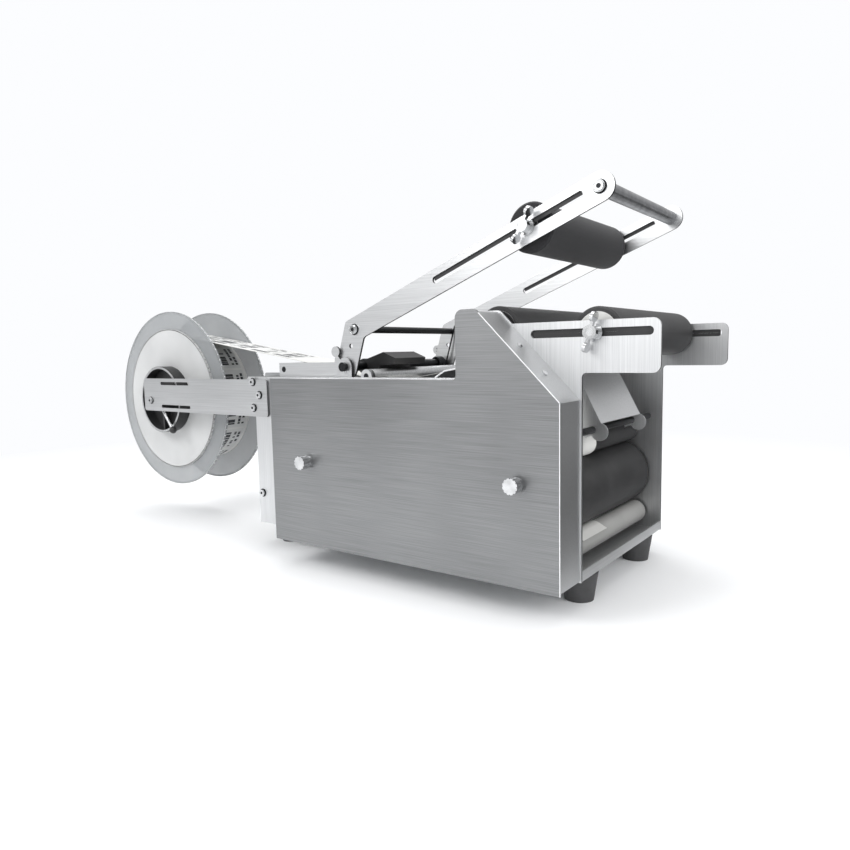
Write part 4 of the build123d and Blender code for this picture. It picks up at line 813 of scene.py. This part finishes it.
bar_bolts = [(side_spot(*spot), BOLT_R) for spot in BAR_BOLTS] + [(roll_at, BOLT_R)]
low_bolt = [(side_spot(*LOW_BOLT), BOLT_R)]
arm_bolts = [(axis_of("handle_rod"), HEAD_R), (axis_of("elbow_tube"), HEAD_R)]
for side, out in (("near", -1), ("far", 1)):
    corner = 0 if out < 0 else 1
    bar_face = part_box(side + "_reel_bracket")[corner][1]
    arm_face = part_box(side + "_press_arm")[corner][1]
    bolt_shade_rings(side + "_bar_bolt_shade", bar_bolts, bar_face, out, "frame")
    bolt_shade_rings(side + "_plate_bolt_shade", low_bolt, bar_face - out * REEL_BAR, out, "frame")
    bolt_shade_rings(side + "_arm_bolt_shade", arm_bolts, arm_face, out, "press_arms")

# %% [markdown]
# The clamp lever is a thin rod, and a black plastic ball at its end gives the fingers a hold.

# %% Ball of the clamp lever
LEVER_ANGLE = math.radians(-52)
LEVER_LENGTH = 62 * MM
BALL_R = 5.8 * MM
lever_low, lever_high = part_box("clamp_lever")
ball = bmesh.new()
knob = bmesh.ops.create_uvsphere(ball, u_segments=24, v_segments=16, radius=BALL_R)["verts"]
bmesh.ops.translate(ball, verts=knob, vec=(roll_at[0] + LEVER_LENGTH * math.cos(LEVER_ANGLE),
                                           (lever_low[1] + lever_high[1]) / 2,
                                           roll_at[1] + LEVER_LENGTH * math.sin(LEVER_ANGLE)))
hand_in("lever_ball", ball, black_abs, "clamp_lever")

# %% [markdown]
# A narrow near-white strip let into the cover's edge, along the sides one sees, is a painted
# highlight, the brightest line on the machine.

# %% Painted highlight on the drive cover's edge
SLOPE_START = 191 * MM
HUMP_TOP = 285 * MM
SLOPE_TOP = HUMP_TOP - SLOPE_START
BROW_ROUND = 4 * MM
EDGE = 0.9 * MM
EDGE_PROUD = 0.12 * MM
EDGE_BACK = 1.2 * MM
edge = bmesh.new()
foot = Vector((front_x, base_z))
knee = foot + Vector((0, SLOPE_START))
brow = foot + Vector((-SLOPE_TOP + BROW_ROUND, HUMP_TOP - BROW_ROUND))
for start, end in ((foot, knee), (knee, brow)):
    plate(edge, start, end, cover_y - EDGE_PROUD, cover_y + EDGE_BACK, -EDGE_PROUD, EDGE)
hand_in("cover_edge_highlight", edge, edge_highlight_metal, "frame")

# %% [markdown]
# The control side isn't in the picture. It gets what a plain speed-controlled labeller has and no
# more: a scale round the dial, signs by the dial and buttons, a counter window and four screws. The
# scale has a mark for each 30 degrees of the dial's 300, and its first, middle and last are longer.

# %% The dial's scale
PRINT = 0.08 * MM
PRINT_SEAT = 0.05 * MM
BEZEL_RISE = 1.5 * MM
MARK_COUNT = 11
MARK_FIRST = 240
MARK_STEP = 30
LONG_EVERY = 5
MARK_START = 15 * MM
MARK_REACH = 17.5 * MM
LONG_REACH = 19.5 * MM
MARK_WIDTH = 0.6 * MM
panel_low, panel_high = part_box("control_panel")
panel_y = panel_high[1] - BEZEL_RISE
case_low, case_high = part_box("control_box")
dial_at = axis_of("speed_dial")
scale = bmesh.new()
for i in range(MARK_COUNT):
    a = math.radians(MARK_FIRST - MARK_STEP * i)
    tick = Vector((math.cos(a), math.sin(a)))
    reach = LONG_REACH if i % LONG_EVERY == 0 else MARK_REACH
    start = Vector(dial_at) + tick * MARK_START
    end = Vector(dial_at) + tick * reach
    plate(scale, start, end, panel_y - PRINT_SEAT, panel_y + PRINT, -MARK_WIDTH / 2, MARK_WIDTH)
hand_in("dial_scale", scale, white_print, "frame")

# %% [markdown]
# Words start as text curves, which Blender fills and gives the thickness of screen print. They are
# then turned to face away from the drive side.

# %% Signs by the dial and buttons
DIAL_SIGN = 7 * MM
DIAL_SIGN_DROP = 25 * MM
BUTTON_SIGN = 5.5 * MM
BUTTON_SIGN_RISE = 15 * MM


def sign(name, words, size, x, z, surface_y, material):
    """Print that faces away from the drive side, centred on x and z."""
    curve = bpy.data.curves.new(name, "FONT")
    curve.body = words
    curve.size = size
    curve.align_x = "CENTER"
    curve.align_y = "CENTER"
    curve.extrude = PRINT / 2
    holder = bpy.data.objects.new(name + "_text", curve)
    bpy.context.scene.collection.objects.link(holder)
    bpy.context.view_layer.update()
    mesh = bpy.data.meshes.new_from_object(holder.evaluated_get(bpy.context.evaluated_depsgraph_get()))
    bpy.data.objects.remove(holder)
    mesh.transform(Matrix(((-1, 0, 0, x), (0, 0, 1, surface_y + PRINT / 2), (0, 1, 0, z), (0, 0, 0, 1))))
    letters = bmesh.new()
    letters.from_mesh(mesh)
    bpy.data.meshes.remove(mesh)
    hand_in(name, letters, material, "frame")


start_at = axis_of("start_button")
stop_at = axis_of("stop_button")
sign("speed_sign", "SPEED", DIAL_SIGN, dial_at[0], dial_at[1] - DIAL_SIGN_DROP, panel_y, white_print)
for button, words, spot in (("start", "START", start_at), ("stop", "STOP", stop_at)):
    sign(button + "_sign", words, BUTTON_SIGN, spot[0], spot[1] + BUTTON_SIGN_RISE, panel_y, white_print)

# %% [markdown]
# The counter is a dark window with four lit digits. Its pane stands 0.6 mm off the panel, with a
# small round on every edge.

# %% The counter's window and digits
WINDOW_FROM_REAR = 105 * MM
WINDOW_FROM_TOP = 70 * MM
WINDOW_HALF = 40.5 * MM
WINDOW_RISE = 17.5 * MM
WINDOW_THICK = 0.6 * MM
WINDOW_EDGE = 0.2 * MM
DIGITS = 22 * MM
window_x = case_low[0] + WINDOW_FROM_REAR
window_z = case_high[2] - WINDOW_FROM_TOP
window_y = panel_y + WINDOW_THICK
window = bmesh.new()
plate(window, (window_x - WINDOW_HALF, window_z), (window_x + WINDOW_HALF, window_z),
      panel_y - PRINT_SEAT, window_y, -WINDOW_RISE, 2 * WINDOW_RISE)
bmesh.ops.bevel(window, geom=window.edges[:], offset=WINDOW_EDGE, segments=2, profile=0.5,
                affect="EDGES", material=-1)
hand_in("counter_window", window, display_glass, "frame")
sign("counter_digits", "0000", DIGITS, window_x, window_z, window_y, lit_digits)

# %% [markdown]
# Four small cap screws hold the panel. The pointer is a white line on the dial's rim, and turns with
# the dial.

# %% Panel screws and the dial's pointer
SCREW_INSET = 9 * MM
SCREW_R = 2.8 * MM
SCREW_HEIGHT = 1.3 * MM
POINTER_START = 10.5 * MM
POINTER_END = 12.6 * MM
POINTER_LENGTH = 11 * MM
POINTER_IN = 0.2 * MM
POINTER_WIDTH = 1.2 * MM
corner_heads = bmesh.new()
corner_socket_shade = bmesh.new()
for x in (panel_low[0] + SCREW_INSET, panel_high[0] - SCREW_INSET):
    for z in (panel_low[2] + SCREW_INSET, panel_high[2] - SCREW_INSET):
        cap_screw(corner_heads, corner_socket_shade, (x, z), panel_y, 1, SCREW_R, SCREW_HEIGHT)
hand_in("panel_screws", corner_heads, ground_bar, "frame")
# The screws' sockets are black hexagons, a painted shade.
hand_in("panel_screw_socket_shade", corner_socket_shade, black_steel, "frame")

pointer = bmesh.new()
dial_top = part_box("speed_dial")[1][1]
plate(pointer, (dial_at[0], dial_at[1] + POINTER_START), (dial_at[0], dial_at[1] + POINTER_END),
      dial_top - POINTER_LENGTH, dial_top - POINTER_IN, -POINTER_WIDTH / 2, POINTER_WIDTH)
hand_in("dial_pointer", pointer, white_print, "speed_dial")

# %% [markdown]
# The world does two jobs. The camera sees plain white, also through the discs, as the picture is a
# cut-out on white. Reflections and soft light come from the studio instead, with a pale ceiling and a
# greyer band at the horizon where the room is.

# %% The room that the metal reflects
world = bpy.data.worlds.new("studio")
bpy.context.scene.world = world
world.use_nodes = True
sky = world.node_tree
sky.nodes.clear()
direction = add_node(sky, "ShaderNodeTexCoord").outputs["Generated"]
height = add_node(sky, "ShaderNodeSeparateXYZ", links={0: direction}).outputs["Z"]
share = add_node(sky, "ShaderNodeMapRange", values={1: -1.0, 2: 1.0, 3: 0.0, 4: 1.0},
                 links={0: height}).outputs[0]
room = add_node(sky, "ShaderNodeValToRGB", links={"Fac": share})
stops = room.color_ramp.elements
stops[0].position = 0.0
stops[0].color = linear("#A8A8A8")
stops[1].position = 1.0
stops[1].color = linear("#FFFFFF")
for position, tone in ((0.42, "#C2C2C2"), (0.55, "#B4B5B6"), (0.72, "#E8E8E9")):
    stop = stops.new(position)
    stop.color = linear(tone)
rays = add_node(sky, "ShaderNodeLightPath")
seen_plain = add_node(sky, "ShaderNodeMath", {"operation": "MAXIMUM"},
                      links={0: rays.outputs["Is Camera Ray"],
                             1: rays.outputs["Is Transmission Ray"]}).outputs[0]
studio_light = add_node(sky, "ShaderNodeBackground", values={"Strength": 1.0},
                        links={"Color": room.outputs["Color"]}).outputs[0]
plain_white = add_node(sky, "ShaderNodeBackground",
                       values={"Color": linear("#FCFDFF"), "Strength": 1.0}).outputs[0]
mixed = add_node(sky, "ShaderNodeMixShader",
                 links={0: seen_plain, 1: studio_light, 2: plain_white}).outputs[0]
add_node(sky, "ShaderNodeOutputWorld", links={"Surface": mixed})
print("stops of the room's light:", [round(stop.position, 2) for stop in stops])

# %% [markdown]
# The floor is plain and nearly white, takes a soft shadow, and fades into the background away from
# the machine. A photographer puts a black card beside shiny metal to give it a dark side. There are
# two here, one upright beyond the far front corner and one flat on the floor ahead of the machine.
# They show in reflections alone, so no view has them in the way.

# %% Floor and black cards
CARD_ROUGH = 0.9
FLOOR_SIZE = 30
FADE_START = 0.6
FADE_END = 1.5
LOW_CARD_AHEAD = 0.72


def card(name, place, target, width, height, tone):
    """A flat stage piece that faces a target."""
    sheet = bmesh.new()
    bmesh.ops.create_grid(sheet, x_segments=1, y_segments=1, size=0.5)
    bmesh.ops.scale(sheet, verts=sheet.verts, vec=(width, height, 1))
    facing = (Vector(target) - Vector(place)).to_track_quat("Z", "Y").to_matrix().to_4x4()
    bmesh.ops.transform(sheet, verts=sheet.verts, matrix=Matrix.Translation(place) @ facing)
    mesh = bpy.data.meshes.new(name)
    sheet.to_mesh(mesh)
    sheet.free()
    mesh.materials.append(new_material(name, tone, 0.0, CARD_ROUGH)[0])
    holder = bpy.data.objects.new(name, mesh)
    bpy.context.scene.collection.objects.link(holder)
    return holder


floor_z = cad_box[0][2]
floor = card("studio_floor", (0, 0, floor_z), (0, 0, 1), FLOOR_SIZE, FLOOR_SIZE, "#F4F5F6")
paper = floor.data.materials[0].node_tree
here = add_node(paper, "ShaderNodeTexCoord").outputs["Object"]
away = add_node(paper, "ShaderNodeVectorMath", {"operation": "LENGTH"}, links={0: here}).outputs["Value"]
fade = add_node(paper, "ShaderNodeMapRange", values={1: FADE_START, 2: FADE_END},
                links={0: away}).outputs[0]
sweep = add_node(paper, "ShaderNodeEmission", values={"Color": linear("#FCFDFF")}).outputs[0]
blend = add_node(paper, "ShaderNodeMixShader",
                 links={0: fade, 1: paper.nodes["Principled BSDF"].outputs[0], 2: sweep}).outputs[0]
paper.links.new(blend, paper.nodes["Material Output"].inputs["Surface"])
low_card_x = front_x + LOW_CARD_AHEAD
cards = (card("black_card", (1.2, 1.1, 0.15), (0.4, 0, 0.15), 1.5, 0.3, "#141414"),
         card("low_black_card", (low_card_x, 0.35, floor_z + MM), (low_card_x, 0.35, 1), 1.3, 1.2,
              "#1A1A1A"))
for dark in cards:
    dark.visible_camera = False
    dark.visible_diffuse = False
    dark.visible_shadow = False
    dark.visible_transmission = False
    print(dark.name, "shows in reflections alone")

# %% [markdown]
# Four large soft lamps light the machine, each placed in metres and aimed at a point of it. The side
# lamp only adds gloss to the brushed sheet, so it gives no diffuse light.

# %% Soft lamps


def softbox(name, place, target, width, height, power):
    """A soft lamp that points at a target."""
    lamp = bpy.data.lights.new(name, "AREA")
    lamp.shape = "RECTANGLE"
    lamp.size = width
    lamp.size_y = height
    lamp.energy = power
    holder = bpy.data.objects.new(name, lamp)
    holder.location = place
    holder.rotation_euler = (Vector(target) - Vector(place)).to_track_quat("-Z", "Y").to_euler()
    bpy.context.scene.collection.objects.link(holder)
    print(name, "of", power, "W")
    return holder


middle = (0, 0, 0.2)
softbox("key_softbox", (-0.9, -1.6, 1.5), middle, 1.2, 0.9, 22)
softbox("front_softbox", (1.8, -0.3, 0.9), (0.3, 0, 0.2), 0.8, 1.0, 9)
side_lamp = softbox("side_softbox", (0.05, -1.7, 0.8), (0.35, -0.1, 0.3), 1.2, 0.9, 5.5)
side_lamp.visible_diffuse = False
softbox("top_softbox", (0.1, 0.3, 1.9), middle, 1.6, 1.0, 16)
bpy.context.scene.view_settings.view_transform = "Standard"
